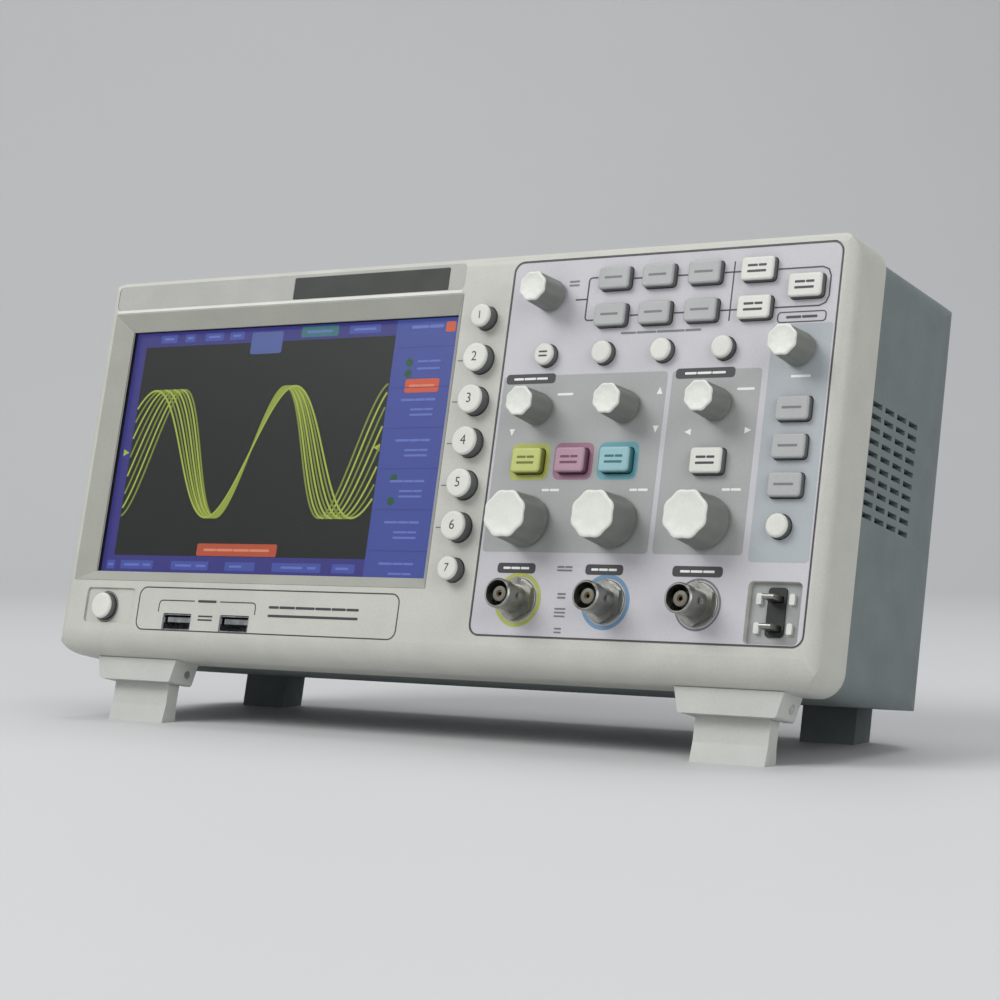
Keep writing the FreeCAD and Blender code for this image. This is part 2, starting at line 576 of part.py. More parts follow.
def fan_rotor():
    x0, x1 = FAN_RIGHT_X - FAN_T + 3.0, FAN_RIGHT_X - 0.8
    hub = cross_rod(x0, x1, FAN_Y, FAN_Z, ROTOR_HUB_R)
    spindle = cross_rod(x0 - 2.0, x0 + 1, FAN_Y, FAN_Z, 1.0)
    blades = []
    for i in range(FAN_BLADES):
        root, end = FAN_Z + ROTOR_HUB_R - 1, FAN_Z + ROTOR_R + 1
        blade = block(x0 + 0.8, x0 + 2.2, FAN_Y - 5.5, FAN_Y + 5.5, root, end)
        blade.rotate(Vector(x0 + 1.5, FAN_Y, FAN_Z), Vector(0, 0, 1), 25)
        blade.translate(Vector(1.6, 0, 0))
        blade.rotate(Vector(x0, FAN_Y, FAN_Z), Vector(1, 0, 0), 360.0 * i / FAN_BLADES)
        blades.append(blade)
    tip = cross_rod(x0, x1, FAN_Y, FAN_Z, ROTOR_R)
    return joined([hub, spindle, joined(blades).common(tip)])


# ---- legs, feet and handle ----------------------------------------------------------------------------------
def floor_block():
    """Everything below the floor, as seen from the leaning case."""
    slab = Part.makeBox(2 * CASE_W, 400.0, 100.0, Vector(-CASE_W / 2, -100.0, -100.0 - FLOOR_DROP))
    slab.rotate(Vector(0, 0, 0), Vector(1, 0, 0), LEAN_DEG)
    return slab


def leg(x0):
    """Paddle leg: hinge barrel, flat shank and a foot that widens forwards, cut level with the floor."""
    barrel = cross_rod(x0, x0 + LEG_W, LEG_PIVOT_Y, LEG_PIVOT_Z, LEG_BARREL_R)
    y, z = LEG_PIVOT_Y, LEG_PIVOT_Z
    shank = side_prism([(y - 3.4, z, 0.2), (y + 2.2, z, 0.2), (y + 2.0, z - 12.0, 4.0),
                        (y + 3.6, z - 24.0, 1.0), (y - 5.2, z - 24.0, 1.0), (y - 3.4, z - 12.0, 4.0)],
                       x0, x0 + LEG_W)
    pin_hole = cross_rod(x0 - 1, x0 + LEG_W + 1, y, z, LEG_PIN_R + SHAFT_RUNNING_GAP)
    return without(joined([barrel, shank]), [pin_hole, floor_block()])


def leg_brackets():
    """Blocks under the case that hold each leg's pin; their front wall stops the open leg."""
    brackets = []
    for x0 in LEG_X:
        left, right = x0 - BRACKET_SIDE - 0.4, x0 + LEG_W + 0.4 + BRACKET_SIDE
        outline = [(left, 0.0, 0), (left + 2.0, BRACKET_Z, 1.2), (right - 2.0, BRACKET_Z, 1.2), (right, 0.0, 0)]
        form = front_prism(outline, *BRACKET_Y)
        slot = block(x0 - 0.4, x0 + LEG_W + 0.4, LEG_PIVOT_Y - LEG_BARREL_R - 0.4, 30.0, BRACKET_Z - 1, 1.0)
        pin_hole = cross_rod(left, right, LEG_PIVOT_Y, LEG_PIVOT_Z, LEG_PIN_R + 0.02)
        brackets.append(without(form, [slot, pin_hole]))
    return Part.makeCompound(brackets)


def hinge_pins():
    """Steel pins of both legs and of the handle."""
    pins = []
    for x0 in LEG_X:
        pins.append(cross_rod(x0 - 5.0, x0 + LEG_W + 5.0, LEG_PIVOT_Y, LEG_PIVOT_Z, LEG_PIN_R))
    for x0 in (TRAY_BOX[0] - WALL, TRAY_BOX[1] - HANDLE_ARM_W + 1.5):
        pins.append(cross_rod(x0, x0 + WALL + HANDLE_ARM_W - 1.5, HANDLE_PIVOT_Y, HANDLE_PIVOT_Z, HANDLE_PIN_R))
    return Part.makeCompound(pins)


def rear_feet():
    feet = []
    for x0 in REAR_FOOT_X:
        y0, y1 = REAR_FOOT_Y
        foot = side_prism([(y0, 20.0, 0), (y0, -10.0, 0), (y1, -10.0, 0), (y1, 20.0, 0)], x0, x0 + REAR_FOOT_W)
        feet.append(without(foot, [housing_form(0), block(x0 - 1, x0 + 60, 0, 120, 12.0, 40.0), floor_block()]))
    return Part.makeCompound(feet)


def carry_handle():
    """Bail with two arms and a rounded grip, folded back into the tray at rest."""
    x0, x1 = TRAY_BOX[0] + HANDLE_SIDE_GAP, TRAY_BOX[1] - HANDLE_SIDE_GAP
    low, high = HANDLE_ARM_Z
    grip_front, grip_rear = HANDLE_GRIP_Y
    bail = plan_prism([(x0, HANDLE_PIVOT_Y, 0.5), (x0 + HANDLE_ARM_W, HANDLE_PIVOT_Y, 0.5),
                       (x0 + HANDLE_ARM_W, grip_front, 5.0), (x1 - HANDLE_ARM_W, grip_front, 5.0),
                       (x1 - HANDLE_ARM_W, HANDLE_PIVOT_Y, 0.5), (x1, HANDLE_PIVOT_Y, 0.5),
                       (x1, grip_rear, 7.0), (x0, grip_rear, 7.0)], low, high)
    section = side_prism([(0.0, low, 1.0), (grip_rear, low, 3.5), (grip_rear, high, 3.5), (0.0, high, 1.0)],
                         x0, x1)
    bail = bail.common(section)
    barrels = [cross_rod(x, x + HANDLE_ARM_W, HANDLE_PIVOT_Y, HANDLE_PIVOT_Z, HANDLE_BARREL_R)
               for x in (x0, x1 - HANDLE_ARM_W)]
    hole_r = HANDLE_PIN_R + SHAFT_RUNNING_GAP
    pin_holes = [cross_rod(x, x + HANDLE_ARM_W, HANDLE_PIVOT_Y, HANDLE_PIVOT_Z, hole_r)
                 for x in (x0 - 1.0, x1 - HANDLE_ARM_W + 0.6)]
    return without(joined([bail, *barrels]), pin_holes)


# ---- sockets and screws -------------------------------------------------------------------------------------
def hexagon(x, z, across_flats, y0, y1):
    corner_r = across_flats / math.sqrt(3)
    corners = []
    for i in range(6):
        angle = math.radians(60 * i + 30)
        corners.append((x + corner_r * math.cos(angle), z + corner_r * math.sin(angle), 0.4))
    return front_prism(corners, y0, y1)


def bnc_jack(x, z):
    """Bayonet socket: nut, neck with two lugs, full-size mouth, insulator and hollow centre contact."""
    mouth, neck_end = -BNC_LENGTH, -(BNC_LENGTH - BNC_MATE_LENGTH)
    nut = hexagon(x, z, 12.6, -1.8, OVERLAY_RECESS - OVERLAY_T)
    neck = rod(x, z, neck_end, 0.0, BNC_NECK_R)
    barrel = rod(x, z, mouth, neck_end, BNC_BARREL_R)
    barrel = barrel.makeChamfer(0.35, front_edges(barrel, mouth))
    lugs = Part.makeCylinder(1.0, 11.0, Vector(x - 5.5, neck_end + 1.3, z), Vector(1, 0, 0))
    panel_part = rod(x, z, -0.5, 3.5, 6.0)
    body = rod(x, z, 3.2, MAIN_BOARD_Y, 6.8)
    bore = rod(x, z, mouth - 1, mouth + 9.0, BNC_BORE_R)
    shell = without(joined([nut, neck, barrel, lugs, panel_part, body]), [bore])
    insulator = without(rod(x, z, mouth + 1.5, mouth + 9.0, 2.45), [rod(x, z, mouth, mouth + 6.0, 1.1)])
    contact = without(rod(x, z, mouth + 1.9, mouth + 6.0, 1.07), [rod(x, z, mouth, mouth + 5.5, 0.7)])
    return [shell, insulator, contact]


def bnc_jacks():
    solids = []
    for x in CHANNEL_X:
        solids += bnc_jack(x, BNC_Z)
    return Part.makeCompound(solids)


def usb_host_socket(x, z):
    """Folded metal shell open at the front, with its plastic tongue."""
    y0, y1 = 0.3, IO_BOARD_Y
    outer = centred_tablet(x, z, USB_OUTER_W, USB_OUTER_H, 0.4, y0, y1)
    mouth = centred_tablet(x, z, USB_OUTER_W - 2 * USB_WALL, USB_OUTER_H - 2 * USB_WALL, 0.2, y0 - 1, y1 - 1.5)
    tongue = block(x - 5.5, x + 5.5, y0 + 1.2, y1 - 1.5, z + 0.1, z + 1.9)
    return [without(outer, [mouth]), tongue]


def usb_device_socket():
    """Square peripheral socket in the rear wall."""
    x, z = DEVICE_SOCKET_X, DEVICE_SOCKET_Z
    y0, y1 = CASE_D - 16.0, CASE_D + 0.4
    outer = centred_tablet(x, z, 12.0, 10.8, 0.3, y0, y1)
    mouth = centred_tablet(x, z, 8.6, 7.9, 1.2, y0 + 6, y1 + 1)
    tongue = block(x - 2.8, x + 2.8, y0 + 6, y1 - 1.0, z - 1.6, z + 1.6)
    return [without(outer, [mouth]), tongue]


def usb_sockets():
    solids = []
    for x in USB_X:
        solids += usb_host_socket(x, USB_Z)
    return Part.makeCompound(solids + usb_device_socket())


def power_inlet():
    """Mains inlet with three blades in a recess, flanged onto the rear wall."""
    x, z = INLET_X, INLET_Z
    flange = centred_tablet(x, z, 31.0, 23.4, 2.0, CASE_D, CASE_D + 1.4)
    body = centred_tablet(x, z, 27.2, 19.6, 1.0, CASE_D - 20.0, CASE_D + 1.0)
    half_w, half_h = 12.1, 8.1
    outline = [(x - half_w, z - half_h, 0.8), (x + half_w, z - half_h, 0.8),
               (x + half_w, z + 3.4, 0.8), (x + half_w - 4.7, z + half_h, 0.8),
               (x - half_w + 4.7, z + half_h, 0.8), (x - half_w, z + 3.4, 0.8)]
    recess = front_prism(outline, CASE_D - 14.0, CASE_D + 2.0)
    blades = [(x - 7.0, z - 2.0), (x + 7.0, z - 2.0), (x, z + 2.0)]
    shell = without(joined([flange, body]), [recess])
    pins = [block(a - 1.0, a + 1.0, CASE_D - 14.5, CASE_D - 4.6, b - 2.0, b + 2.0) for a, b in blades]
    return joined([shell, *pins])


def probe_terminal_places():
    middle = (PROBE_RECESS[0] + PROBE_RECESS[1]) / 2
    return [(middle, 27.0), (middle, 18.0)]


def probe_terminals():
    """Two spring strips folded into loops, for the probe's hook and clip."""
    strips = []
    for x, z in probe_terminal_places():
        outline = [(KEY_BOARD_Y, z - 0.8, 0), (-4.2, z - 0.8, 0.7), (-4.2, z + 0.8, 0.7),
                   (KEY_BOARD_Y, z + 0.8, 0)]
        strip = side_prism(outline, x - 2.0, x + 2.0)
        eye = Part.makeCylinder(1.0, 4.0, Vector(x, -2.4, z - 2), Vector(0, 0, 1))
        strips.append(without(strip, [eye]))
    return Part.makeCompound(strips)


def screw(x, z, seat, length, way):
    """Cross-head screw seated at depth seat; way is 1 when its tip points to the rear, -1 to the front."""
    head = Part.makeCylinder(SCREW_HEAD_R, SCREW_HEAD_T, Vector(x, seat, z), Vector(0, -way, 0))
    shank = Part.makeCylinder(SCREW_R, length, Vector(x, seat, z), Vector(0, way, 0))
    top, cross_end = seat - way * (SCREW_HEAD_T + 1), seat - way * 1.2
    y0, y1 = min(top, cross_end), max(top, cross_end)
    cross = [block(x - a, x + a, y0, y1, z - b, z + b) for a, b in ((1.6, 0.35), (0.35, 1.6))]
    return without(joined([head, shank]), cross)


def screws():
    """Four long case screws, and the short ones of each board."""
    boards = [(KEY_BOARD_SCREWS, KEY_BOARD_Y + BOARD_T, -1), (IO_BOARD_SCREWS, IO_BOARD_Y + BOARD_T, -1),
              (MAIN_BOARD_SCREWS, MAIN_BOARD_Y, 1), (POWER_BOARD_SCREWS, POWER_BOARD_Y + BOARD_T, -1)]
    all_screws = [screw(x, z, SCREW_SEAT_Y, CASE_SCREW_L, -1) for x, z in POSTS]
    for places, seat, way in boards:
        all_screws += [screw(x, z, seat, BOARD_SCREW_L, way) for x, z in places]
    return Part.makeCompound(all_screws)


# ---- the assembly -------------------------------------------------------------------------------------------
KEYS = key_places()
KNOBS = knob_places()


def build_nodes():
    nodes = {
        "front_bezel": front_bezel(),
        "control_overlay": control_overlay(),
        "nameplate": nameplate(),
        "screen_window": screen_window(),
        "lcd_module": lcd_module(),
        "rear_housing": rear_housing(),
        "chassis": chassis(),
        "main_board": main_board(),
        "keypad_boards": keypad_boards(),
        "power_supply_board": power_supply_board(),
        "fan_frame": fan_frame(),
        "fan_rotor": fan_rotor(),
        "left_leg": leg(LEG_X[0]),
        "right_leg": leg(LEG_X[1]),
        "leg_brackets": leg_brackets(),
        "rear_feet": rear_feet(),
        "carry_handle": carry_handle(),
        "hinge_pins": hinge_pins(),
        "bnc_jacks": bnc_jacks(),
        "usb_sockets": usb_sockets(),
        "probe_terminals": probe_terminals(),
        "power_inlet": power_inlet(),
        "screws": screws(),
    }
    for name, (x, z, key) in KEYS.items():
        nodes[name] = key_cap(x, z, key)
    for name, (x, z, size) in KNOBS.items():
        nodes[name] = knob(x, z, size)
    return nodes


def place(shape, forward_shift=0.0):
    """Leans a shape of the case back onto the open legs, with the floor at Z = 0."""
    placed = shape.copy()
    placed.translate(Vector(-CASE_W / 2, 0, 0))
    placed.rotate(Vector(0, 0, 0), Vector(1, 0, 0), -LEAN_DEG)
    placed.translate(Vector(0, forward_shift, FLOOR_DROP))
    return placed


def footprint_shift(nodes):
    """How far the leaning instrument moves along Y to stand centred on the origin."""
    whole = Part.makeCompound([place(shape) for shape in nodes.values()]).optimalBoundingBox(False)
    return -(whole.YMin + whole.YMax) / 2


def main():
    os.makedirs("parts", exist_ok=True)
    nodes = build_nodes()
    shift = footprint_shift(nodes)
    for name, shape in nodes.items():
        place(shape, shift).exportStep(f"parts/{name}.step")
        problems = "" if shape.isValid() else "  NOT VALID"
        print(f"{name}: {len(shape.Solids)} solids, {shape.Volume:.0f} mm3{problems}")
    print(f"{len(nodes)} nodes, moved {shift:.3f} mm along Y")
    print(f"keys travel {KEY_TRAVEL} mm, legs fold {LEG_FOLD_DEG} deg, the handle lifts {HANDLE_LIFT_DEG} deg")


main()
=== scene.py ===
"""Looks of the bench oscilloscope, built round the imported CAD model.

Detail pieces are laid out in the case's own frame, in millimetres: X from the case's left side, Y from the
front face towards the rear, Z up from the bottom edge. CASE turns such a place into the row frame, in metres.
"""
import json
import math

import bmesh
import bpy
from mathutils import Matrix, Vector


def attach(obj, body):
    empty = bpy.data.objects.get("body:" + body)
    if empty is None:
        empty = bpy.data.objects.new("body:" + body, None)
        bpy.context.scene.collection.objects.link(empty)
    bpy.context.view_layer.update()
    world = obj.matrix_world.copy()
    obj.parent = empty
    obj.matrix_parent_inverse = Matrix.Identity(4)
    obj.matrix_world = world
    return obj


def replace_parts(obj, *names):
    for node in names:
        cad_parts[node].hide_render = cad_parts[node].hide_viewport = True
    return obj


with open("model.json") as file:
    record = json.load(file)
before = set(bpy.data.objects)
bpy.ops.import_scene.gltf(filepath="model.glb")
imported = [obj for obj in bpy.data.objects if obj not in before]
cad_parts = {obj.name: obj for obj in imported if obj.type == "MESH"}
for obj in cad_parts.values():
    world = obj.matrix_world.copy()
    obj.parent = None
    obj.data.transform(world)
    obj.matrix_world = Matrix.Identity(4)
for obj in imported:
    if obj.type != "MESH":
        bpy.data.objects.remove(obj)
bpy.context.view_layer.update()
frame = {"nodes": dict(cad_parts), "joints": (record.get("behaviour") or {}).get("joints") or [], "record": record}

BODY = "case"


# ---- the case's frame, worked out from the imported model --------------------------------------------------
def joint(name):
    return next(j for j in frame["joints"] if j["name"] == name)


PRESS = Vector(joint("power_button_press")["axis"])
LEAN = math.atan2(-PRESS.z, PRESS.y)
UPRIGHT = Matrix.Rotation(LEAN, 4, "X")


def upright_corner(node):
    """Lowest corner of a CAD node's box, in metres, with the case turned upright."""
    places = [UPRIGHT @ v.co for v in frame["nodes"][node].data.vertices]
    return Vector(min(p[i] for p in places) for i in range(3))


CASE = UPRIGHT.inverted() @ Matrix.Translation(upright_corner("front_bezel")) @ Matrix.Scale(0.001, 4)
TO_CASE = CASE.inverted()


class Place:
    """A CAD node's box in the case's frame, in millimetres."""

    def __init__(self, node):
        places = [TO_CASE @ v.co for v in frame["nodes"][node].data.vertices]
        self.x0, self.y0, self.z0 = (min(p[i] for p in places) for i in range(3))
        self.x1, self.y1, self.z1 = (max(p[i] for p in places) for i in range(3))
        self.x, self.z = (self.x0 + self.x1) / 2, (self.z0 + self.z1) / 2
        self.width = self.x1 - self.x0


CASING = Place("front_bezel")
OVERLAY = Place("control_overlay")
LCD = Place("lcd_module")
HOUSING = Place("rear_housing")


# ---- materials -------------------------------------------------------------------------------------------
def srgb(red, green, blue):
    """A colour given as it looks on a screen, 0 to 255, as linear values."""
    def linear(c):
        c = c / 255
        return c / 12.92 if c <= 0.04045 else ((c + 0.055) / 1.055) ** 2.4
    return (linear(red), linear(green), linear(blue), 1.0)


class Shader:
    """A Principled material whose colour, roughness and bump come from layers of noise."""

    def __init__(self, name, roughness=0.5, metallic=0.0, **settings):
        self.material = bpy.data.materials.new(name)
        self.material.use_nodes = True
        self.tree = self.material.node_tree
        self.principled = self.tree.nodes["Principled BSDF"]
        self.set("Roughness", roughness)
        self.set("Metallic", metallic)
        for socket, value in settings.items():
            self.set(socket.replace("_", " "), value)
        self.coordinates = self.node("ShaderNodeTexCoord").outputs["Object"]

    def set(self, socket, value):
        self.principled.inputs[socket].default_value = value

    def node(self, kind, **inputs):
        made = self.tree.nodes.new(kind)
        for socket, value in inputs.items():
            made.inputs[socket.replace("_", " ")].default_value = value
        return made

    def link(self, output, socket):
        self.tree.links.new(output, socket)

    def noise(self, size_mm, detail=3.0, stretch=None):
        """Noise with lumps about size_mm across; stretch packs them closer along an axis of the row frame."""
        made = self.node("ShaderNodeTexNoise", Scale=1000.0 / size_mm, Detail=detail)
        if stretch:
            mapping = self.node("ShaderNodeMapping", Scale=stretch)
            self.link(self.coordinates, mapping.inputs["Vector"])
            self.link(mapping.outputs["Vector"], made.inputs["Vector"])
        else:
            self.link(self.coordinates, made.inputs["Vector"])
        return made.outputs["Fac"]

    def ramp(self, value, low, high, low_colour, high_colour):
        made = self.node("ShaderNodeValToRGB")
        made.color_ramp.elements[0].position = low
        made.color_ramp.elements[1].position = high
        made.color_ramp.elements[0].color = low_colour
        made.color_ramp.elements[1].color = high_colour
        self.link(value, made.inputs["Fac"])
        return made.outputs["Color"]

    def colour(self, colour, spread=0.05, size_mm=14.0, speck=0.03, speck_mm=0.6):
        """Base colour with a broad mottle and a fine speck."""
        broad = self.ramp(self.noise(size_mm), 0.3, 0.7, shade(colour, 1 - spread), shade(colour, 1 + spread))
        fine = self.ramp(self.noise(speck_mm, 2.0), 0.35, 0.65, grey(1 - speck), grey(1 + speck))
        mix = self.node("ShaderNodeMix")
        mix.data_type = "RGBA"
        mix.blend_type = "MULTIPLY"
        mix.inputs["Factor"].default_value = 1.0
        self.link(broad, mix.inputs["A"])
        self.link(fine, mix.inputs["B"])
        self.link(mix.outputs["Result"], self.principled.inputs["Base Color"])
        return self

    def uneven_gloss(self, roughness, spread=0.08, size_mm=9.0):
        """Roughness that drifts a little over the surface, as handling leaves it."""
        low, high = grey(roughness - spread), grey(roughness + spread)
        drift = self.ramp(self.noise(size_mm, 4.0), 0.3, 0.7, low, high)
        self.link(drift, self.principled.inputs["Roughness"])
        return self

    def bump(self, size_mm, height_mm, strength=1.0, stretch=None):
        made = self.node("ShaderNodeBump", Strength=strength, Distance=height_mm / 1000)
        self.link(self.noise(size_mm, 4.0, stretch), made.inputs["Height"])
        self.link(made.outputs["Normal"], self.principled.inputs["Normal"])
        return self


def shade(colour, factor):
    return tuple(min(c * factor, 1.0) for c in colour[:3]) + (1.0,)


def grey(value):
    return (value, value, value, 1.0)


def moulded(name, colour, roughness=0.5, grain_mm=0.55, grain_height=0.035, spread=0.04):
    """Injection-moulded plastic with a fine spark-eroded texture."""
    shader = Shader(name, roughness, Specular_IOR_Level=0.4)
    shader.colour(colour, spread).uneven_gloss(roughness).bump(grain_mm, grain_height)
    return shader.material


def printed(name, colour, roughness=0.42):
    """Ink on film: even colour with a faint print screen."""
    shader = Shader(name, roughness, Specular_IOR_Level=0.35)
    shader.colour(colour, 0.03, 20.0, 0.04, 0.35).uneven_gloss(roughness, 0.05).bump(0.8, 0.008)
    return shader.material


def metal(name, colour, roughness=0.25, brushed=None):
    shader = Shader(name, roughness, metallic=1.0)
    shader.colour(colour, 0.08, 5.0, 0.05, 0.25)
    shader.uneven_gloss(roughness, 0.1, 2.5).bump(0.3, 0.006, 1.0, brushed)
    return shader.material


def lit(name, colour, strength=1.0, roughness=0.35):
    """A lit area of the display, with the fine speck of its pixels in the glow."""
    shader = Shader(name, roughness)
    shader.colour(shade(colour, 0.15), 0.05, 8.0)
    pixels = shader.noise(0.45, 1.0)
    glow = shader.ramp(pixels, 0.25, 0.75, shade(colour, 0.95), shade(colour, 1.05))
    shader.link(glow, shader.principled.inputs["Emission Color"])
    shader.set("Emission Strength", strength)
    return shader.material


def clear_window(name):
    """Thin clear acrylic; mostly see-through, with its own reflections."""
    shader = Shader(name, 0.08, Specular_IOR_Level=0.3)
    shader.colour((0.02, 0.02, 0.022, 1.0), 0.1)
    shader.uneven_gloss(0.09, 0.02, 30.0)
    shader.set("Alpha", 0.14)
    return shader.material


def circuit(name):
    """Green solder mask with copper tracks showing through."""
    shader = Shader(name, 0.35)
    tracks = shader.node("ShaderNodeTexVoronoi", Scale=260.0)
    tracks.distance = "MANHATTAN"
    shader.link(shader.coordinates, tracks.inputs["Vector"])
    mask = shader.ramp(tracks.outputs["Distance"], 0.3, 0.36, srgb(70, 120, 66), srgb(22, 78, 44))
    shader.link(mask, shader.principled.inputs["Base Color"])
    shader.uneven_gloss(0.35).bump(0.4, 0.02)
    return shader.material


# the looks, by maker; a value that a row leaves out is the maker's own
MOULDED = {                         # colour, roughness, grain's width and height in mm, spread of the colour
    "bezel_plastic": (srgb(188, 188, 180), 0.5),
    "housing_plastic": (srgb(114, 122, 122), 0.62, 0.8, 0.07, 0.06),
    "black_plastic": (srgb(34, 35, 36), 0.5, 0.7, 0.04),
    "leg_plastic": (srgb(186, 188, 182), 0.52),
    "foot_rubber": (srgb(94, 101, 102), 0.78, 1.0, 0.08, 0.08),
    "handle_plastic": (srgb(72, 80, 83), 0.55, 0.8, 0.06),
    "key_plastic": (srgb(210, 210, 203), 0.45, 0.5, 0.02),
    "grey_key_plastic": (srgb(166, 168, 167), 0.45, 0.5, 0.02),
    "yellow_key_plastic": (srgb(184, 190, 112), 0.4, 0.5, 0.015),
    "pink_key_plastic": (srgb(168, 134, 150), 0.4, 0.5, 0.015),
    "cyan_key_plastic": (srgb(140, 180, 186), 0.4, 0.5, 0.015),
    "knob_plastic": (srgb(214, 215, 208), 0.42, 0.6, 0.02),
    # BNC insulator: darkened, painted shade inside the socket mouth
    "insulator": (srgb(112, 110, 102), 0.5, 0.3, 0.01),
    # knob grips: darker than the caps, painted shade on the knobs' sides
    "knob_side": (srgb(118, 121, 116), 0.5, 0.6, 0.02),
    # key sides: dark grey painted shade
    "key_side": (srgb(92, 93, 94), 0.55, 0.5, 0.02),
    "band_print": (srgb(168, 168, 163), 0.5, 0.5, 0.02),
    # screen frame slopes: darker than the bezel, painted shade
    "frame_shaded_plastic": (srgb(160, 161, 152), 0.5),
    "ridge_plastic": (srgb(214, 214, 208), 0.42, 0.5, 0.02),
}
PRINTED = {                         # colour, roughness
    "overlay_print": (srgb(190, 188, 193), 0.45),
    "nameplate_film": (srgb(48, 51, 48), 0.5),
    "ink_dark": (srgb(62, 62, 66),),
    "ink_grey": (srgb(112, 113, 116),),
    "ink_white": (srgb(226, 228, 224),),
    "ink_zone": (srgb(160, 162, 161), 0.45),
    "ink_trigger_zone": (srgb(164, 170, 173), 0.45),
    "halo_yellow": (srgb(170, 176, 88),),
    "halo_pink": (srgb(152, 110, 132),),
    "halo_cyan": (srgb(98, 156, 166),),
    "halo_blue": (srgb(108, 142, 172),),
    "key_ink_and_shade_olive": (srgb(104, 112, 44),),
    "key_ink_and_shade_plum": (srgb(104, 66, 84),),
    "key_ink_and_shade_teal": (srgb(48, 104, 112),),
    "label_silver": (srgb(186, 188, 188), 0.35),
}
METALS = {                          # colour, roughness, how much closer the grain is packed along each axis
    "sheet_steel": (srgb(176, 178, 180), 0.35, (1, 8, 1)),
    "pin_steel": (srgb(190, 190, 188), 0.3),
    "nickel_plate": (srgb(148, 148, 142), 0.34),
    "socket_steel": (srgb(170, 172, 174), 0.28),
    "contact_gold": (srgb(150, 130, 84), 0.3),
}
LIT = {                             # colour, strength of the glow
    "display": (srgb(30, 32, 30), 0.5),
    "lit_menu": (srgb(72, 86, 164), 0.9),
    "lit_menu_deep": (srgb(58, 66, 140), 0.9),
    "lit_bar": (srgb(62, 60, 136), 0.9),
    "lit_tab": (srgb(88, 104, 168), 0.9),
    "lit_teal": (srgb(64, 124, 128), 0.9),
    "lit_green": (srgb(40, 92, 60), 0.9),
    "lit_orange": (srgb(210, 92, 60), 1.0),
    "lit_red": (srgb(184, 84, 58), 1.0),
    "lit_trace": (srgb(168, 182, 76), 1.0),
    "lit_trace_dim": (srgb(134, 150, 62), 0.9),
    "lit_text": (srgb(108, 126, 206), 0.9),
    "lit_grid": (srgb(70, 76, 70), 0.6),
    "lit_black": (srgb(34, 38, 34), 0.8),
    "lit_text_dim": (srgb(76, 90, 172), 0.9),
    "lit_orange_pale": (srgb(222, 138, 108), 1.0),
}
MAKERS = ((moulded, MOULDED), (printed, PRINTED), (metal, METALS), (lit, LIT))
OTHERS = {"screen_glass": clear_window, "circuit_board": circuit}
materials = {}


def made_material(name):
    for maker, looks in MAKERS:
        if name in looks:
            return maker(name, *looks[name])
    return OTHERS[name](name)


def material(name):
    """The material of that name, made the first time it is asked for."""
    if name not in materials:
        materials[name] = made_material(name)
    return materials[name]


# ---- building pieces -------------------------------------------------------------------------------------
def piece(name, mesh_data, look, body=BODY, smooth_deg=None):
    """A finished object from a bmesh in the case's frame."""
    bmesh.ops.remove_doubles(mesh_data, verts=mesh_data.verts, dist=1e-5)
    bmesh.ops.recalc_face_normals(mesh_data, faces=mesh_data.faces)
    mesh = bpy.data.meshes.new(name)
    mesh_data.to_mesh(mesh)
    mesh_data.free()
    mesh.transform(CASE)
    made = bpy.data.objects.new(name, mesh)
    bpy.context.scene.collection.objects.link(made)
    mesh.materials.append(material(look))
    if smooth_deg is not None:
        mesh.shade_smooth()
        mesh.set_sharp_from_angle(angle=math.radians(smooth_deg))
    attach(made, body)
    return made


def rounded_rect(x0, x1, z0, z1, radius, steps=5):
    """Outline (x, z) of a rectangle with rounded corners."""
    points = []
    corners = ((x1 - radius, z1 - radius, 0), (x0 + radius, z1 - radius, 90),
               (x0 + radius, z0 + radius, 180), (x1 - radius, z0 + radius, 270))
    for x, z, start in corners:
        for i in range(steps + 1):
            angle = math.radians(start + 90 * i / steps)
            points.append((x + radius * math.cos(angle), z + radius * math.sin(angle)))
    return points


def circle(x, z, radius, steps=48):
    turns = (2 * math.pi * i / steps for i in range(steps))
    return [(x + radius * math.cos(a), z + radius * math.sin(a)) for a in turns]


def slab(mesh, outline, front, back):
    """Adds a closed plate with a convex outline (x, z), from y = front to y = back."""
    near = [mesh.verts.new((x, front, z)) for x, z in outline]
    far = [mesh.verts.new((x, back, z)) for x, z in outline]
    mesh.faces.new(near)
    mesh.faces.new(far[::-1])
    for i in range(len(outline)):
        j = (i + 1) % len(outline)
        mesh.faces.new((near[i], far[i], far[j], near[j]))


def ribbon(mesh, path, width, front, back, closed=False):
    """Adds a closed strip of the given width that follows a path (x, z)."""
    count = len(path)
    sides = []
    for i, (x, z) in enumerate(path):
        before = path[i - 1] if (closed or i) else path[i]
        after = path[(i + 1) % count] if (closed or i < count - 1) else path[i]
        along = Vector((after[0] - before[0], after[1] - before[1])).normalized()
        first = Vector((x - before[0], z - before[1]))
        corner = first.normalized().dot(along) if first.length > 1e-9 else 1.0
        half = width / 2 / max(corner, 0.5)
        across = Vector((-along.y, along.x)) * half
        ring = [(x + across.x, front, z + across.y), (x - across.x, front, z - across.y),
                (x - across.x, back, z - across.y), (x + across.x, back, z + across.y)]
        sides.append([mesh.verts.new(p) for p in ring])
    for i in range(count if closed else count - 1):
        here, there = sides[i], sides[(i + 1) % count]
        for k in range(4):
            mesh.faces.new((here[k], here[(k + 1) % 4], there[(k + 1) % 4], there[k]))
    if not closed:
        mesh.faces.new(sides[0][::-1])
        mesh.faces.new(sides[-1])


def annulus(mesh, x, z, inner, outer, front, back, steps=64):
    """Adds a closed flat ring."""
    middle = (inner + outer) / 2
    ribbon(mesh, circle(x, z, middle, steps), outer - inner, front, back, closed=True)


